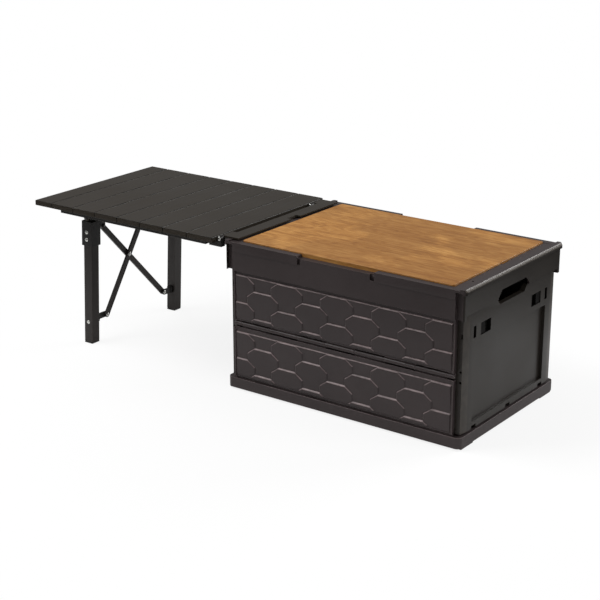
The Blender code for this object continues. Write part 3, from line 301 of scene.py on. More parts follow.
def range_node(tree, value, old, new=(0.0, 1.0)):
    """A value moved from one range to another, and kept inside it."""
    node = tree.nodes.new("ShaderNodeMapRange")
    tree.links.new(value, node.inputs["Value"])
    for label, (low, high) in (("From", old), ("To", new)):
        node.inputs[label + " Min"].default_value = low
        node.inputs[label + " Max"].default_value = high
    return node.outputs["Result"]


def object_place(tree):
    """Places in the object's own frame, for its textures."""
    return tree.nodes.new("ShaderNodeTexCoord").outputs["Object"]


def grain_group():
    """Fine moulded or blasted grain, as a height, with a slow unevenness beside it."""
    group, source, result = new_group(
        "surface_grain",
        [("Fine Scale", "NodeSocketFloat", 900.0), ("Patch Scale", "NodeSocketFloat", 9.0)],
        [("Height", "NodeSocketFloat"), ("Patch", "NodeSocketFloat")])
    place = object_place(group)
    fine = noise_node(group, detail=3.0, roughness=0.6)
    patch = noise_node(group, detail=4.0, roughness=0.55, distortion=0.3)
    for node, label in ((fine, "Fine Scale"), (patch, "Patch Scale")):
        group.links.new(place, node.inputs["Vector"])
        group.links.new(source.outputs[label], node.inputs["Scale"])
    group.links.new(fine.outputs[0], result.inputs["Height"])
    group.links.new(range_node(group, patch.outputs[0], (0.3, 0.7)), result.inputs["Patch"])
    return group


def wear_and_light_group():
    """Mask of rubbed edges and painted light: the marked faces, broken up by noise."""
    group, source, result = new_group(
        "edge_wear_and_light",
        [("Scale", "NodeSocketFloat", 60.0), ("Amount", "NodeSocketFloat", 0.5)],
        [("Mask", "NodeSocketFloat")])
    place = object_place(group)
    edge = group.nodes.new("ShaderNodeAttribute")
    edge.attribute_name = "edge"
    patch = noise_node(group, detail=5.0, roughness=0.6)
    group.links.new(place, patch.inputs["Vector"])
    group.links.new(source.outputs["Scale"], patch.inputs["Scale"])
    broken = range_node(group, patch.outputs[0], (0.35, 0.62), (0.35, 1.0))
    worn_and_lit = math_node(group, "MULTIPLY", edge.outputs["Fac"], broken)
    worn_and_lit = math_node(group, "MULTIPLY", worn_and_lit, source.outputs["Amount"], clamp=True)
    group.links.new(worn_and_lit, result.inputs["Mask"])
    return group


def streak_group():
    """Long thin lines along one axis, such as drawing lines in metal or pores in wood."""
    group, source, result = new_group(
        "long_streaks",
        [("Stretch", "NodeSocketVector", ALONG_X), ("Scale", "NodeSocketFloat", 10.0)],
        [("Lines", "NodeSocketFloat")])
    place = object_place(group)
    stretch = group.nodes.new("ShaderNodeVectorMath")
    stretch.operation = "MULTIPLY"
    group.links.new(place, stretch.inputs[0])
    group.links.new(source.outputs["Stretch"], stretch.inputs[1])
    lines = noise_node(group, detail=4.0, roughness=0.65)
    group.links.new(stretch.outputs[0], lines.inputs["Vector"])
    group.links.new(source.outputs["Scale"], lines.inputs["Scale"])
    group.links.new(lines.outputs[0], result.inputs["Lines"])
    return group


GRAIN = grain_group()
WEAR_AND_LIGHT = wear_and_light_group()
STREAKS = streak_group()


# Materials


def use_group(tree, group, **values):
    """A group placed in a material with its own values."""
    node = tree.nodes.new("ShaderNodeGroup")
    node.node_tree = group
    for label, value in values.items():
        node.inputs[label.replace("_", " ")].default_value = value
    return node


def new_material(name):
    """A material with its tree and its shader."""
    material = bpy.data.materials.new(name)
    material.use_nodes = True
    return material, material.node_tree, material.node_tree.nodes["Principled BSDF"]


def mix_colour(tree, mask, first, second):
    """Two colours, given as sockets or values, mixed by a mask."""
    node = tree.nodes.new("ShaderNodeMix")
    node.data_type = "RGBA"
    tree.links.new(mask, node.inputs["Factor"])
    for label, value in (("A", first), ("B", second)):
        socket = [s for s in node.inputs if s.name == label and s.type == "RGBA"][0]
        if isinstance(value, tuple):
            socket.default_value = value
        else:
            tree.links.new(value, socket)
    return [s for s in node.outputs if s.type == "RGBA"][0]


def bump(tree, shader, height, strength, distance):
    """A bump from a height, on the shader's normal."""
    node = tree.nodes.new("ShaderNodeBump")
    node.inputs["Strength"].default_value = strength
    node.inputs["Distance"].default_value = distance
    tree.links.new(height, node.inputs["Height"])
    tree.links.new(node.outputs["Normal"], shader.inputs["Normal"])


def shade(colour, factor):
    """A linear colour made lighter or darker."""
    return (*[min(part * factor, 1.0) for part in colour[:3]], 1.0)


def moulded_plastic(name, colour, rough, grain=1100.0, wear_and_light=0.5, gloss=0.28, pale=2.1):
    """Textured moulded plastic, a little uneven, paler on its marked faces: wear along its edges,
    and on the crate's plastics also a painted highlight.
    """
    material, tree, shader = new_material(name)
    shader.inputs["Specular IOR Level"].default_value = gloss
    base = linear(colour)
    grain_node = use_group(tree, GRAIN, Fine_Scale=grain, Patch_Scale=7.0)
    worn_and_lit = use_group(tree, WEAR_AND_LIGHT, Scale=55.0, Amount=wear_and_light)
    low, high = PLASTIC_TONES
    body = mix_colour(tree, grain_node.outputs["Patch"], shade(base, low), shade(base, high))
    body = mix_colour(tree, worn_and_lit.outputs["Mask"], body, shade(base, pale))
    tree.links.new(body, shader.inputs["Base Color"])
    uneven = range_node(tree, grain_node.outputs["Patch"], (0.0, 1.0),
                        (rough - SMOOTHER, rough + PLASTIC_ROUGHER))
    tree.links.new(uneven, shader.inputs["Roughness"])
    bump(tree, shader, grain_node.outputs["Height"], strength=0.28, distance=0.00025)
    return material


def anodised_metal(name, colour, stretch, rough=0.42, wear_and_light=0.5, pale=2.4):
    """Dark anodised aluminium with drawing lines along the extrusion, and edges paler with wear; a
    `pale` below one darkens them instead, as painted shade.
    """
    material, tree, shader = new_material(name)
    base = linear(colour)
    shader.inputs["Metallic"].default_value = 0.3
    shader.inputs["Specular IOR Level"].default_value = 0.35
    lines = use_group(tree, STREAKS, Stretch=stretch, Scale=9.0)
    grain_node = use_group(tree, GRAIN, Fine_Scale=1500.0, Patch_Scale=6.0)
    worn_and_lit = use_group(tree, WEAR_AND_LIGHT, Scale=40.0, Amount=wear_and_light)
    mask = range_node(tree, lines.outputs["Lines"], (0.35, 0.65))
    low, high = METAL_TONES
    body = mix_colour(tree, mask, shade(base, low), shade(base, high))
    body = mix_colour(tree, worn_and_lit.outputs["Mask"], body, shade(base, pale))
    tree.links.new(body, shader.inputs["Base Color"])
    patch = grain_node.outputs["Patch"]
    uneven = math_node(tree, "ADD", math_node(tree, "MULTIPLY", mask, METAL_UNEVEN),
                       math_node(tree, "MULTIPLY", patch, METAL_UNEVEN))
    tree.links.new(math_node(tree, "ADD", uneven, rough - SMOOTHER), shader.inputs["Roughness"])
    height = math_node(tree, "ADD", grain_node.outputs["Height"],
                       math_node(tree, "MULTIPLY", lines.outputs["Lines"], 0.8))
    bump(tree, shader, height, strength=0.16, distance=0.0002)
    return material


def bright_metal(name, colour):
    """Plated steel of the rivets and pins, bright or dark."""
    material, tree, shader = new_material(name)
    base = linear(colour)
    shader.inputs["Metallic"].default_value = 1.0
    grain_node = use_group(tree, GRAIN, Fine_Scale=700.0, Patch_Scale=160.0)
    body = mix_colour(tree, grain_node.outputs["Patch"], shade(base, BRIGHT_TONE), base)
    tree.links.new(body, shader.inputs["Base Color"])
    uneven = range_node(tree, grain_node.outputs["Patch"], (0.0, 1.0), BRIGHT_ROUGH)
    tree.links.new(uneven, shader.inputs["Roughness"])
    bump(tree, shader, grain_node.outputs["Height"], strength=0.1, distance=0.0001)
    return material


def oiled_wood(name):
    """Warm veneer with long figure, fine pores and a satin finish."""
    material, tree, shader = new_material(name)
    shader.inputs["Specular IOR Level"].default_value = 0.3
    figure = use_group(tree, STREAKS, Stretch=(1.0, 9.0, 9.0), Scale=3.2)
    flame = use_group(tree, STREAKS, Stretch=(1.0, 3.2, 3.2), Scale=2.2)
    pores = use_group(tree, STREAKS, Stretch=(1.0, 38.0, 38.0), Scale=24.0)
    fine = use_group(tree, STREAKS, Stretch=(1.0, 30.0, 30.0), Scale=9.0)
    patch = use_group(tree, GRAIN, Fine_Scale=500.0, Patch_Scale=5.0)
    rings = math_node(tree, "MULTIPLY", flame.outputs["Lines"], FLAME_RINGS)
    rings = math_node(tree, "SINE", rings)
    rings = range_node(tree, rings, (-1.0, 1.0))
    shares = [math_node(tree, "MULTIPLY", lines, share)
              for lines, share in ((figure.outputs["Lines"], FIGURE_SHARE), (rings, RING_SHARE),
                                   (fine.outputs["Lines"], FINE_SHARE))]
    tone = math_node(tree, "ADD", math_node(tree, "ADD", shares[0], shares[1]), shares[2])
    ramp = tree.nodes.new("ShaderNodeValToRGB")
    stops = ramp.color_ramp.elements
    stops.new(0.5)
    for stop, (position, colour) in zip(stops, WOOD_STOPS):
        stop.position = position
        stop.color = linear(colour)
    tree.links.new(tone, ramp.inputs["Fac"])
    dark_pores = range_node(tree, pores.outputs["Lines"], (0.36, 0.46), (0.5, 0.0))
    body = mix_colour(tree, dark_pores, ramp.outputs["Color"], shade(linear(WOOD_DARK), PORE_TONE))
    shadow = range_node(tree, patch.outputs["Patch"], (0.38, 0.58), (0.42, 0.0))
    body = mix_colour(tree, shadow, body, shade(linear(WOOD_DARK), PATCH_TONE))
    tree.links.new(body, shader.inputs["Base Color"])
    uneven = range_node(tree, pores.outputs["Lines"], (0.35, 0.6), WOOD_ROUGH)
    tree.links.new(uneven, shader.inputs["Roughness"])
    height = math_node(tree, "ADD", pores.outputs["Lines"], fine.outputs["Lines"])
    bump(tree, shader, height, strength=0.22, distance=0.0002)
    return material


# Its marked faces turn six times paler: wear on the rounded edges, with a painted highlight there,
# on the upward slopes of the scales and on the end lips.
CRATE_PLASTIC = moulded_plastic("crate_plastic", CRATE_BROWN, rough=0.36, wear_and_light=1.0, gloss=0.22,
                                pale=6.0)
# Its marked faces turn paler: wear on the rounded edges, with a painted highlight there and on the
# sloped end strips.
END_PLASTIC = moulded_plastic("end_wall_plastic", CRATE_GREY, rough=0.36, wear_and_light=0.8, gloss=0.3,
                              pale=4.4)
HUB_PLASTIC = moulded_plastic("hub_plastic", HUB_BLACK, rough=0.4, grain=1500.0, wear_and_light=0.35)
LATCH_PLASTIC = moulded_plastic("latch_plastic", LATCH_BLACK, rough=0.45, grain=1500.0, wear_and_light=0.3,
                                gloss=0.04)
# Edges of the slats, the leg mount bar and the hook plate are painted nearly black: painted shade
# in the seams between parts.
SLAT_METAL = anodised_metal("slat_metal", TABLE_GREY, ALONG_Y, wear_and_light=1.0, pale=0.15)
RAIL_METAL = anodised_metal("rail_metal", RAIL_GREY, ALONG_X)
LEG_METAL = anodised_metal("leg_metal", LEG_GREY, ALONG_Z)
RIVET_METAL = bright_metal("rivet_metal", STEEL)
PIN_METAL = bright_metal("dark_pin_metal", DARK_STEEL)
LID_WOOD = oiled_wood("lid_wood")


# Finished pieces


def add_piece(name, mesh, material, node=None, body=None):
    """A finished mesh as a piece of the model, in place of a node or else on a body."""
    mesh.materials.clear()
    mesh.materials.append(material)
    piece = bpy.data.objects.new(name, mesh)
    bpy.context.scene.collection.objects.link(piece)
    if node is not None:
        body = body_of(frame["nodes"][node])[0]
        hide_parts(node)
    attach(piece, body)
    return piece


def cut_across(bm, place, normal):
    """A loop of edges where a plane crosses the mesh."""
    everything = bm.verts[:] + bm.edges[:] + bm.faces[:]
    bmesh.ops.bisect_plane(bm, geom=everything, plane_co=place, plane_no=normal)


def join_flat(bm):
    """Join neighbouring faces that lie in one plane."""
    bmesh.ops.dissolve_limit(bm, angle_limit=FLAT, use_dissolve_boundaries=False,
                             verts=bm.verts, edges=bm.edges)


def round_end_lips(bm, node):
    """Slope the upper half of the rim's end lips, which then round off as they are bevelled."""
    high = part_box(node)[1]
    cut_across(bm, (0, 0, high.z - LIP_ROUND), (0, 0, 1))
    for vert in bm.verts:
        past = abs(vert.co.x) - (high.x - RIM_CORNER)
        if past > 0 and vert.co.z > high.z - HAIR:
            vert.co.x -= math.copysign(LIP_SLOPE * past / RIM_CORNER, vert.co.x)


def slope_end_strips(bm, node):
    """Let both upright borders of an end wall fall away a little towards the corners."""
    low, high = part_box(node)
    face = max(abs(low.x), abs(high.x))
    for side in (-1, 1):
        cut_across(bm, (0, side * (high.y - END_STRIP_WIDTH), 0), (0, side, 0))
    for vert in bm.verts:
        if abs(vert.co.y) > high.y - HAIR and abs(vert.co.x) > face - HAIR:
            vert.co.x -= math.copysign(END_STRIP_FALL, vert.co.x)


def raise_side_bands(bm, node):
    """Set the long sides of the rim back, but for a raised band along their top."""
    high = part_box(node)[1]
    for drop in SIDE_BAND:
        cut_across(bm, (0, 0, high.z - drop), (0, 0, 1))
    for x in (MIDDLE_FROM, MIDDLE_FROM + BAND_STEP, MIDDLE_TO - BAND_STEP, MIDDLE_TO):
        cut_across(bm, (x, 0, 0), (1, 0, 0))
    face = high.y - SIDE_BAND_RISE
    for vert in bm.verts:
        middle = MIDDLE_FROM + HAIR < vert.co.x < MIDDLE_TO - HAIR
        if abs(vert.co.y) > face and (middle or vert.co.z < high.z - SIDE_BAND[1] + HAIR):
            vert.co.y = math.copysign(face, vert.co.y)


def even_normals(mesh):
    """The mesh with normals that keep its flat faces flat beside their rounded edges."""
    carrier = bpy.data.objects.new("carrier", mesh)
    bpy.context.scene.collection.objects.link(carrier)
    change = carrier.modifiers.new("normals", "WEIGHTED_NORMAL")
    change.keep_sharp = True
    graph = bpy.context.evaluated_depsgraph_get()
    result = bpy.data.meshes.new_from_object(carrier.evaluated_get(graph))
    bpy.data.objects.remove(carrier)
    return result


def bevelled(node, width, segments=2, sharp=EDGE_ANGLE, form=None, late_form=None):
    """A copy of a CAD node's mesh with its edges rounded, and the rounded faces marked.

    Edges that turn by more than `sharp` degrees are rounded. `form` changes the copy before
    that, `late_form` after it.
    """
    bm = bmesh.new()
    bm.from_mesh(frame["nodes"][node].data)
    bmesh.ops.remove_doubles(bm, verts=bm.verts, dist=MERGE)
    join_flat(bm)
    if form:
        form(bm, node)
    edges = [edge for edge in bm.edges
             if len(edge.link_faces) == 2 and edge.calc_face_angle(0.0) > math.radians(sharp)]
    mark = bm.faces.layers.float.new("edge")
    result = bmesh.ops.bevel(bm, geom=edges, offset=width, offset_type="OFFSET", segments=segments,
                             profile=0.5, affect="EDGES", clamp_overlap=True, loop_slide=True)
    for face in result["faces"]:
        face[mark] = 1.0
    if late_form:
        late_form(bm, node)
    mesh = bpy.data.meshes.new(node + "_finished")
    bm.to_mesh(mesh)
    bm.free()
    mesh.shade_smooth()
    mesh.set_sharp_from_angle(angle=SHARP)
    return even_normals(mesh)


def finish_nodes(names, material, width, slot, **options):
    """Rounded copies of several nodes, in one material, with the options of bevelled()."""
    pieces = []
    for name in names:
        mesh = bevelled(name, width, **options)
        pieces.append(add_piece(name + "_finished", mesh, material, node=name))
    return pieces


def paint_highlight(piece, painted_highlight, amount):
    """Paint a highlight: mark the faces that a test picks, by centre and normal, to turn pale by
    an amount.
    """
    marks = piece.data.attributes["edge"].data
    for polygon in piece.data.polygons:
        if painted_highlight(polygon.center, polygon.normal):
            marks[polygon.index].value = amount


def on_end_lip(centre, normal):
    """On the sloped top of an end lip of the rim."""
    high = CAD_BOX[1]
    at_lip = abs(centre.x) > high.x - RIM_CORNER and centre.z > high.z - 2 * LIP_ROUND
    return at_lip and LIP_TILT[0] < normal.z < LIP_TILT[1]


def on_end_strip(centre, normal):
    """On the sloped strips along an end wall's upright edges."""
    slopes = abs(normal.x) > STRIP_FACING_X and abs(normal.y) > STRIP_FACING_Y
    return slopes and abs(centre.y) > STRIPS_FROM


def paint_end_shade(piece):
    """Painted shade: the end wall's darker plastic on the faces of the rim and its lips that look
    along the crate.
    """
    piece.data.materials.append(END_PLASTIC)
    for polygon in piece.data.polygons:
        at_end = abs(polygon.center.x) > CAD_BOX[1].x - 2 * RIM_CORNER
        if at_end and abs(polygon.normal.x) > END_FACING:
            polygon.material_index = 1


def paint_pocket_shade(piece, face):
    """Painted shade: the black latch plastic on the insides of the latch windows and slots of an
    end wall.
    """
    piece.data.materials.append(LATCH_PLASTIC)
    for polygon in piece.data.polygons:
        x, y, z = polygon.center
        depth = face - abs(x)
        if (POCKET_DEPTH[0] < depth < POCKET_DEPTH[1] and POCKET_UP[0] < z < POCKET_UP[1]
                and POCKET_ACROSS[0] < abs(y) < POCKET_ACROSS[1]):
            polygon.material_index = 1


# Long wall relief


def scale_outline(centre, top):
    """One scale, seen from outside: a flat top, sloping shoulders and a narrower neck below."""
    side = top - SCALE_SHOULDER
    low_side = side - SCALE_SIDE
    right = [(SCALE_TOP_HALF, top), (SCALE_HALF, side), (SCALE_HALF, low_side),
             (SCALE_NECK_HALF, low_side - SCALE_SHOULDER), (SCALE_NECK_HALF, top - SCALE_HEIGHT)]
    return [(centre + a, b) for a, b in right] + [(centre - a, b) for a, b in reversed(right)]


def outline_depth(outline, a, b):
    """How deep each point lies inside an outline, below zero outside it."""
    inside = np.zeros(a.shape, bool)
    nearest = np.full(a.shape, 1.0)
    for i, (a1, b1) in enumerate(outline):
        a0, b0 = outline[i - 1]
        run_a, run_b = a1 - a0, b1 - b0
        share = ((a - a0) * run_a + (b - b0) * run_b) / (run_a ** 2 + run_b ** 2)
        share = np.clip(share, 0, 1)
        nearest = np.minimum(nearest, np.hypot(a - a0 - share * run_a, b - b0 - share * run_b))
        if b0 != b1:
            crosses = ((b0 > b) != (b1 > b)) & (a < a0 + (b - b0) * run_a / run_b)
            inside ^= crosses
    return np.where(inside, nearest, -nearest)


def relief(a, b, low, high):
    """Height of the moulded scales over the wall's plain face."""
    height = np.zeros(a.shape)
    column = 0
    centre = SCALE_FIRST
    while centre < FIELD_HALF_LENGTH + SCALE_HALF:
        top = high if column % 2 == 0 else high + SCALE_HEIGHT / 2
        while top > low:
            depth = outline_depth(scale_outline(centre, top), a, b)
            fall = np.clip((top - b) / SCALE_HEIGHT, 0, 1)
            swell = SCALE_RISE - (SCALE_RISE - SCALE_LOW) * fall
            share = np.clip(depth / SCALE_ROUND, 0, 1)
            height = np.maximum(height, swell * np.sqrt(1 - (1 - share) ** 2) * (depth > 0))
            top -= SCALE_HEIGHT
        column += 1
        centre += SCALE_PITCH / 2
    border = np.minimum.reduce([FIELD_HALF_LENGTH - np.abs(a), b - low, high - b])
    return height * np.clip(border / (FIELD_STEP * BORDER_STEPS), 0, 1)


def wall_face():
    """How far the long walls' plain faces lie from the middle."""
    low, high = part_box("back_mid_hinge_rod")
    return (low.y + high.y) / 2 + FACE_PAST_HINGE


def flatten_scales(bm, node):
    """Take the plain scales off the copy of a long wall, for the finer relief in their place."""
    face = wall_face()
    low, high = UPPER_FIELD if node.endswith("upper") else LOWER_FIELD
    for vert in bm.verts:
        x, y, z = vert.co
        if abs(x) < FIELD_HALF_LENGTH + FIELD_ROUND and abs(y) > face:
            if low - FIELD_ROUND < z < high + FIELD_ROUND:
                vert.co.y = math.copysign(face, y)
    bmesh.ops.remove_doubles(bm, verts=bm.verts, dist=COARSE_MERGE)
    bmesh.ops.dissolve_degenerate(bm, dist=COARSE_MERGE, edges=bm.edges)
    join_flat(bm)


def wall_relief(node, side, field):
    """The scale field of one wall panel, as a thin closed skin on its face, with a painted
    highlight on the slopes that face up.
    """
    low, high = field
    face = side * wall_face()
    columns = int(round(2 * FIELD_HALF_LENGTH / FIELD_STEP)) + 1
    rows = int(round((high - low) / FIELD_STEP)) + 1
    a, b = np.meshgrid(np.linspace(-FIELD_HALF_LENGTH, FIELD_HALF_LENGTH, columns),
                       np.linspace(low, high, rows))
    rise = relief(a, b, low, high) + FIELD_LIFT
    front = np.stack([a, face + side * rise, b], -1).reshape(-1, 3)
    ring = list(range(columns))
    ring += [row * columns + columns - 1 for row in range(1, rows)]
    ring += [(rows - 1) * columns + i for i in range(columns - 2, -1, -1)]
    ring += [row * columns for row in range(rows - 2, 0, -1)]
    back = front[ring].copy()
    back[:, 1] = face - side * FIELD_SKIN
    points = np.concatenate([front, back])
    faces = []
    for row in range(rows - 1):
        for column in range(columns - 1):
            i = row * columns + column
            faces.append((i, i + 1, i + columns + 1, i + columns))
    count = len(front)
    total = len(ring)
    for i in range(total):
        j = (i + 1) % total
        faces.append((ring[j], ring[i], count + i, count + j))
    faces.append(tuple(count + i for i in range(total))[::-1])
    if side > 0:
        faces = [face_points[::-1] for face_points in faces]
    mesh = bpy.data.meshes.new(node + "_scales")
    mesh.from_pydata(points.tolist(), [], faces)
    # Slopes that face up are marked to be painted paler: a painted highlight
    slope = -np.gradient(rise, (high - low) / (rows - 1), axis=0)
    facing_up = (slope[:-1, :-1] + slope[1:, :-1] + slope[:-1, 1:] + slope[1:, 1:]) / 4
    painted_highlight = np.zeros(len(faces))
    painted_highlight[:facing_up.size] = np.clip(facing_up * SCALE_HIGHLIGHT_GAIN - SCALE_HIGHLIGHT_FROM, 0, 1).ravel()
    mesh.attributes.new("edge", "FLOAT", "FACE").data.foreach_set("value", painted_highlight)
    mesh.shade_smooth()
    mesh.set_sharp_from_angle(angle=SCALE_SHARP)
    add_piece(node + "_scales", mesh, CRATE_PLASTIC, body="crate")


# Rivet heads and pins, made by one Geometry Nodes tree


def headed_pin_tree():
    """A shaft with a domed head at each end, along Z, sized by its inputs."""
    tree = bpy.data.node_groups.new("headed_pin", "GeometryNodeTree")
    for label, value in (("Length", 0.02), ("Shaft", 0.002), ("Head", 0.004), ("Dome", 0.0012),
                         ("First Head", 1.0), ("Last Head", 1.0)):
        socket = tree.interface.new_socket(name=label, in_out="INPUT",
                                           socket_type="NodeSocketFloat")
        socket.default_value = value
    tree.interface.new_socket(name="Finish", in_out="INPUT", socket_type="NodeSocketMaterial")
    tree.interface.new_socket(name="Geometry", in_out="OUTPUT", socket_type="NodeSocketGeometry")
    source = tree.nodes.new("NodeGroupInput")
    result = tree.nodes.new("NodeGroupOutput")
    shaft = tree.nodes.new("GeometryNodeMeshCylinder")
    shaft.inputs["Vertices"].default_value = SHAFT_SIDES
    tree.links.new(source.outputs["Shaft"], shaft.inputs["Radius"])
    tree.links.new(source.outputs["Length"], shaft.inputs["Depth"])
    join = tree.nodes.new("GeometryNodeJoinGeometry")
    tree.links.new(shaft.outputs["Mesh"], join.inputs[0])
    for sign, label in ((-1, "First Head"), (1, "Last Head")):
        ball = tree.nodes.new("GeometryNodeMeshUVSphere")
        ball.inputs["Segments"].default_value = HEAD_SEGMENTS
        ball.inputs["Rings"].default_value = HEAD_RINGS
        tree.links.new(source.outputs["Head"], ball.inputs["Radius"])
        squash = tree.nodes.new("ShaderNodeCombineXYZ")
        for axis in "XY":
            squash.inputs[axis].default_value = 1.0
        flat = math_node(tree, "DIVIDE", source.outputs["Dome"], source.outputs["Head"])
        tree.links.new(flat, squash.inputs["Z"])
        shift = tree.nodes.new("ShaderNodeCombineXYZ")
        half = math_node(tree, "MULTIPLY", source.outputs["Length"], sign * 0.5)
        tree.links.new(half, shift.inputs["Z"])
        place = tree.nodes.new("GeometryNodeTransform")
        tree.links.new(ball.outputs["Mesh"], place.inputs["Geometry"])
        tree.links.new(shift.outputs[0], place.inputs["Translation"])
        tree.links.new(squash.outputs[0], place.inputs["Scale"])
        switch = tree.nodes.new("GeometryNodeSwitch")
        switch.input_type = "GEOMETRY"
        above = tree.nodes.new("FunctionNodeCompare")
        above.data_type = "FLOAT"
        above.operation = "GREATER_THAN"
        above.inputs["B"].default_value = 0.5
        tree.links.new(source.outputs[label], above.inputs["A"])
        tree.links.new(above.outputs[0], switch.inputs["Switch"])
        tree.links.new(place.outputs["Geometry"], switch.inputs["True"])
        tree.links.new(switch.outputs[0], join.inputs[0])
    smooth = tree.nodes.new("GeometryNodeSetShadeSmooth")
    tree.links.new(join.outputs[0], smooth.inputs["Geometry"])
    real = tree.nodes.new("GeometryNodeRealizeInstances")
    tree.links.new(smooth.outputs[0], real.inputs[0])
    finish = tree.nodes.new("GeometryNodeSetMaterial")
    tree.links.new(real.outputs[0], finish.inputs["Geometry"])
    tree.links.new(source.outputs["Finish"], finish.inputs["Material"])
    tree.links.new(finish.outputs[0], result.inputs[0])
    return tree


PIN_TREE = headed_pin_tree()


def run_tree(tree, values):
    """The mesh that a Geometry Nodes tree gives with these inputs."""
    carrier = bpy.data.objects.new("carrier", bpy.data.meshes.new("carrier"))
    bpy.context.scene.collection.objects.link(carrier)
    change = carrier.modifiers.new("shape", "NODES")
    change.node_group = tree
    for item in tree.interface.items_tree:
        if item.item_type == "SOCKET" and item.in_out == "INPUT" and item.name in values:
            change[item.identifier] = values[item.name]
    graph = bpy.context.evaluated_depsgraph_get()
    mesh = bpy.data.meshes.new_from_object(carrier.evaluated_get(graph))
    bpy.data.objects.remove(carrier)
    return mesh


def domed_pin(node, sizes, heads=(1.0, 1.0), material=RIVET_METAL):
    """A finer pin or rivet with domed heads, in place of a CAD one, along its longest side.

    `heads` says with 1 or 0 whether its first and its last end have a head.
    """
    shaft, head, dome = sizes
    low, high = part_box(node)
    size = high - low
    axis = max(range(3), key=lambda i: size[i])
    length = size[axis] - dome * sum(heads)
    mesh = run_tree(PIN_TREE, {"Length": length, "Shaft": shaft, "Head": head, "Dome": dome,
                               "First Head": heads[0], "Last Head": heads[1],
                               "Finish": material})
    centre = (low + high) / 2
    centre[axis] += dome * (heads[0] - heads[1]) / 2
    aim = Vector([1.0 if i == axis else 0.0 for i in range(3)])
    # The rivets of the struts lean with the leg frame
    if node.startswith(("strut_rivet", "crossing_rivet")):
        aim = Vector((1.0, 0.0, -LEG_SPLAY)).normalized()
    turn = aim.to_track_quat("Z", "Y").to_matrix().to_4x4()
    mesh.transform(turn)
    mesh.transform(Matrix.Translation(centre))
    add_piece(node + "_domed", mesh, material, node=node)


# The model


def dress_crate():
    """Crate: rim, walls with their scales, base, hinge rods and end walls with latches."""
    rim = finish_nodes(["rim_frame"], CRATE_PLASTIC, RIM_EDGE, "dark_plastic",
                       form=round_end_lips, late_form=raise_side_bands)[0]
    # Painted highlight on the sloped tops of the end lips
    paint_highlight(rim, on_end_lip, LIP_HIGHLIGHT)
    # Painted shade on the rim's faces that look along the crate
    paint_end_shade(rim)
    finish_nodes(["base_tray"], CRATE_PLASTIC, TRAY_EDGE, "dark_plastic")
    for side_name, side in (("front", -1), ("back", 1)):
        for level, field in (("lower", LOWER_FIELD), ("upper", UPPER_FIELD)):
            node = "%s_wall_%s" % (side_name, level)
            finish_nodes([node], CRATE_PLASTIC, WALL_EDGE, "dark_plastic", form=flatten_scales)
            wall_relief(node, side, field)
        finish_nodes([side_name + "_mid_hinge_rod"], RIVET_METAL, ROD_EDGE, "bright_steel")
    end_walls = finish_nodes(["end_wall_right", "end_wall_left"], END_PLASTIC, END_EDGE,
                             "grey_plastic", form=slope_end_strips)
    for wall in end_walls:
        # Painted shade inside the latch windows and slots
        paint_pocket_shade(wall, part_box("end_wall_right")[1].x)
        # Painted highlight on the sloped end strips
        paint_highlight(wall, on_end_strip, STRIP_HIGHLIGHT)
    for end in ("right", "left"):
        for side in ("front", "back"):
            finish_nodes(["latch_%s_%s" % (end, side)], LATCH_PLASTIC, LATCH_EDGE, "black_plastic")
            domed_pin("end_wall_%s_pin_%s" % (end, side), END_WALL_PIN)


def dress_table():
    """Wooden lid, and the side table's slats, rails, bar, hook plate and pins."""
    finish_nodes(["lid_panel"], LID_WOOD, LID_EDGE, "oiled_wood", segments=3)
    slats = ["slat_%d" % (i + 1) for i in range(SLAT_COUNT)]
    finish_nodes(slats, SLAT_METAL, SLAT_EDGE, "dark_aluminium", sharp=SLAT_ANGLE)
    finish_nodes(["table_rail_front", "table_rail_back", "table_hinge_rail"], RAIL_METAL,
                 RAIL_EDGE, "dark_aluminium")
    finish_nodes(["leg_mount_bar", "hook_plate"], SLAT_METAL, BAR_EDGE, "dark_aluminium")
    for side in ("front", "back"):
        domed_pin("hook_pin_" + side, HOOK_PIN, (1.0, 0.0))
        domed_pin("leg_hinge_pin_" + side, LEG_PIN, material=PIN_METAL)


def dress_legs():
    """Leg tubes, hubs, caps, brackets, cross tube, struts and their rivets."""
    for side in ("front", "back"):
        finish_nodes(["leg_tube_" + side], LEG_METAL, TUBE_EDGE, "dark_aluminium", segments=3)
        finish_nodes(["leg_hub_" + side, "leg_bracket_" + side], HUB_PLASTIC, HUB_EDGE,
                     "black_plastic")
        finish_nodes(["foot_cap_" + side], HUB_PLASTIC, CAP_EDGE, "black_plastic")
        for number in (1, 2):
            domed_pin("hub_rivet_%s_%d" % (side, number), RIVET)
    domed_pin("bracket_rivet_front", RIVET, (1.0, 0.0))
    domed_pin("bracket_rivet_back", RIVET, (0.0, 1.0))
    finish_nodes(["cross_tube", "strut_1", "strut_2"], LEG_METAL, STRUT_EDGE, "dark_aluminium")
    domed_pin("crossing_rivet", RIVET)
    for side in ("front", "back"):
        domed_pin("strut_rivet_low_" + side, RIVET)
        domed_pin("strut_rivet_top_" + side, RIVET, material=PIN_METAL)


# Floor, light and camera


def floor_tone(tree, place, for_camera):
    """The floor's own tone: pale for the camera, and for all other rays near the model only."""
    parts = tree.nodes.new("ShaderNodeSeparateXYZ")
    tree.links.new(place, parts.inputs[0])
    under_table = math_node(tree, "MULTIPLY", parts.outputs["X"], TABLE_SIDE_SHARE)
    beside = math_node(tree, "MAXIMUM", parts.outputs["X"], under_table)
    across = math_node(tree, "POWER", math_node(tree, "ABSOLUTE", parts.outputs["Y"]), 2.0)
    along = math_node(tree, "POWER", math_node(tree, "ABSOLUTE", beside), 2.0)
    reach = math_node(tree, "SQRT", math_node(tree, "ADD", across, along))
    near = range_node(tree, reach, FLOOR_BRIGHT, FLOOR_TONES)
    return math_node(tree, "MAXIMUM", near, math_node(tree, "MULTIPLY", for_camera, FLOOR_SEEN))


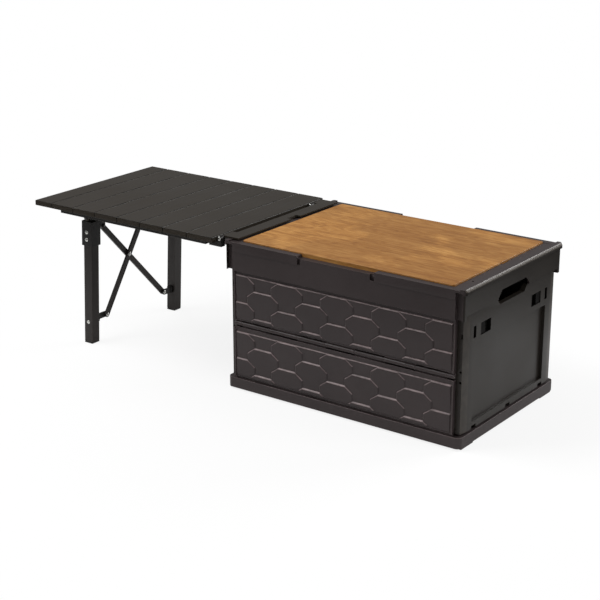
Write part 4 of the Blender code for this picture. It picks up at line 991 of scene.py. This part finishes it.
def floor():
    """A wide pale floor that turns white away from the model and keeps its shadow."""
    mesh = bpy.data.meshes.new("floor")
    half = FLOOR_HALF
    mesh.from_pydata([(-half, -half, 0), (half, -half, 0), (half, half, 0), (-half, half, 0)],
                     [], [(0, 1, 2, 3)])
    plane = bpy.data.objects.new("floor", mesh)
    plane.location = (0, 0, -FLOOR_DROP)
    bpy.context.scene.collection.objects.link(plane)
    material, tree, shader = new_material("floor_white")
    shader.inputs["Roughness"].default_value = 0.9
    shader.inputs["Specular IOR Level"].default_value = 0.0
    glow = tree.nodes.new("ShaderNodeEmission")
    glow.inputs["Strength"].default_value = 1.0
    for_camera = tree.nodes.new("ShaderNodeLightPath").outputs["Is Camera Ray"]
    place = object_place(tree)
    tone = floor_tone(tree, place, for_camera)
    grey = tree.nodes.new("ShaderNodeCombineColor")
    for channel in ("Red", "Green", "Blue"):
        tree.links.new(tone, grey.inputs[channel])
    tree.links.new(grey.outputs["Color"], shader.inputs["Base Color"])
    away = tree.nodes.new("ShaderNodeVectorMath")
    away.operation = "LENGTH"
    tree.links.new(place, away.inputs[0])
    far = range_node(tree, away.outputs["Value"], FLOOR_FADE, FLOOR_GLOW)
    mix = tree.nodes.new("ShaderNodeMixShader")
    tree.links.new(math_node(tree, "MULTIPLY", far, for_camera), mix.inputs[0])
    tree.links.new(shader.outputs[0], mix.inputs[1])
    tree.links.new(glow.outputs[0], mix.inputs[2])
    tree.links.new(mix.outputs[0], tree.nodes["Material Output"].inputs["Surface"])
    mesh.materials.append(material)


def area_light(name, place, target, size, power):
    """A soft rectangular lamp that faces a point."""
    data = bpy.data.lights.new(name, "AREA")
    data.shape = "RECTANGLE"
    data.size, data.size_y = size
    data.energy = power
    lamp = bpy.data.objects.new(name, data)
    lamp.location = place
    aim = Vector(target) - Vector(place)
    lamp.rotation_euler = aim.to_track_quat("-Z", "Y").to_euler()
    bpy.context.scene.collection.objects.link(lamp)


def light_and_camera():
    """A white studio with soft lamps, and the photograph's camera."""
    world = bpy.data.worlds.new("studio")
    world.use_nodes = True
    tree = world.node_tree
    sky = tree.nodes["Background"]
    sky.inputs["Strength"].default_value = WORLD_LIGHT
    seen = tree.nodes.new("ShaderNodeBackground")
    seen.inputs["Strength"].default_value = 1.0
    for node in (sky, seen):
        node.inputs["Color"].default_value = (1, 1, 1, 1)
    path = tree.nodes.new("ShaderNodeLightPath")
    mix = tree.nodes.new("ShaderNodeMixShader")
    tree.links.new(path.outputs["Is Camera Ray"], mix.inputs[0])
    tree.links.new(sky.outputs[0], mix.inputs[1])
    tree.links.new(seen.outputs[0], mix.inputs[2])
    tree.links.new(mix.outputs[0], tree.nodes["World Output"].inputs["Surface"])
    bpy.context.scene.world = world
    for lamp in LAMPS:
        area_light(*lamp)
    data = bpy.data.cameras.new("camera")
    data.lens = CAMERA_LENS
    data.sensor_width = CAMERA_SENSOR
    data.clip_end = CAMERA_REACH
    camera = bpy.data.objects.new("camera", data)
    camera.location = CAMERA_PLACE
    camera.rotation_euler = CAMERA_TURN
    bpy.context.scene.collection.objects.link(camera)
    bpy.context.scene.camera = camera
    bpy.context.scene.view_settings.view_transform = "Standard"


dress_crate()
dress_table()
dress_legs()
floor()
light_and_camera()
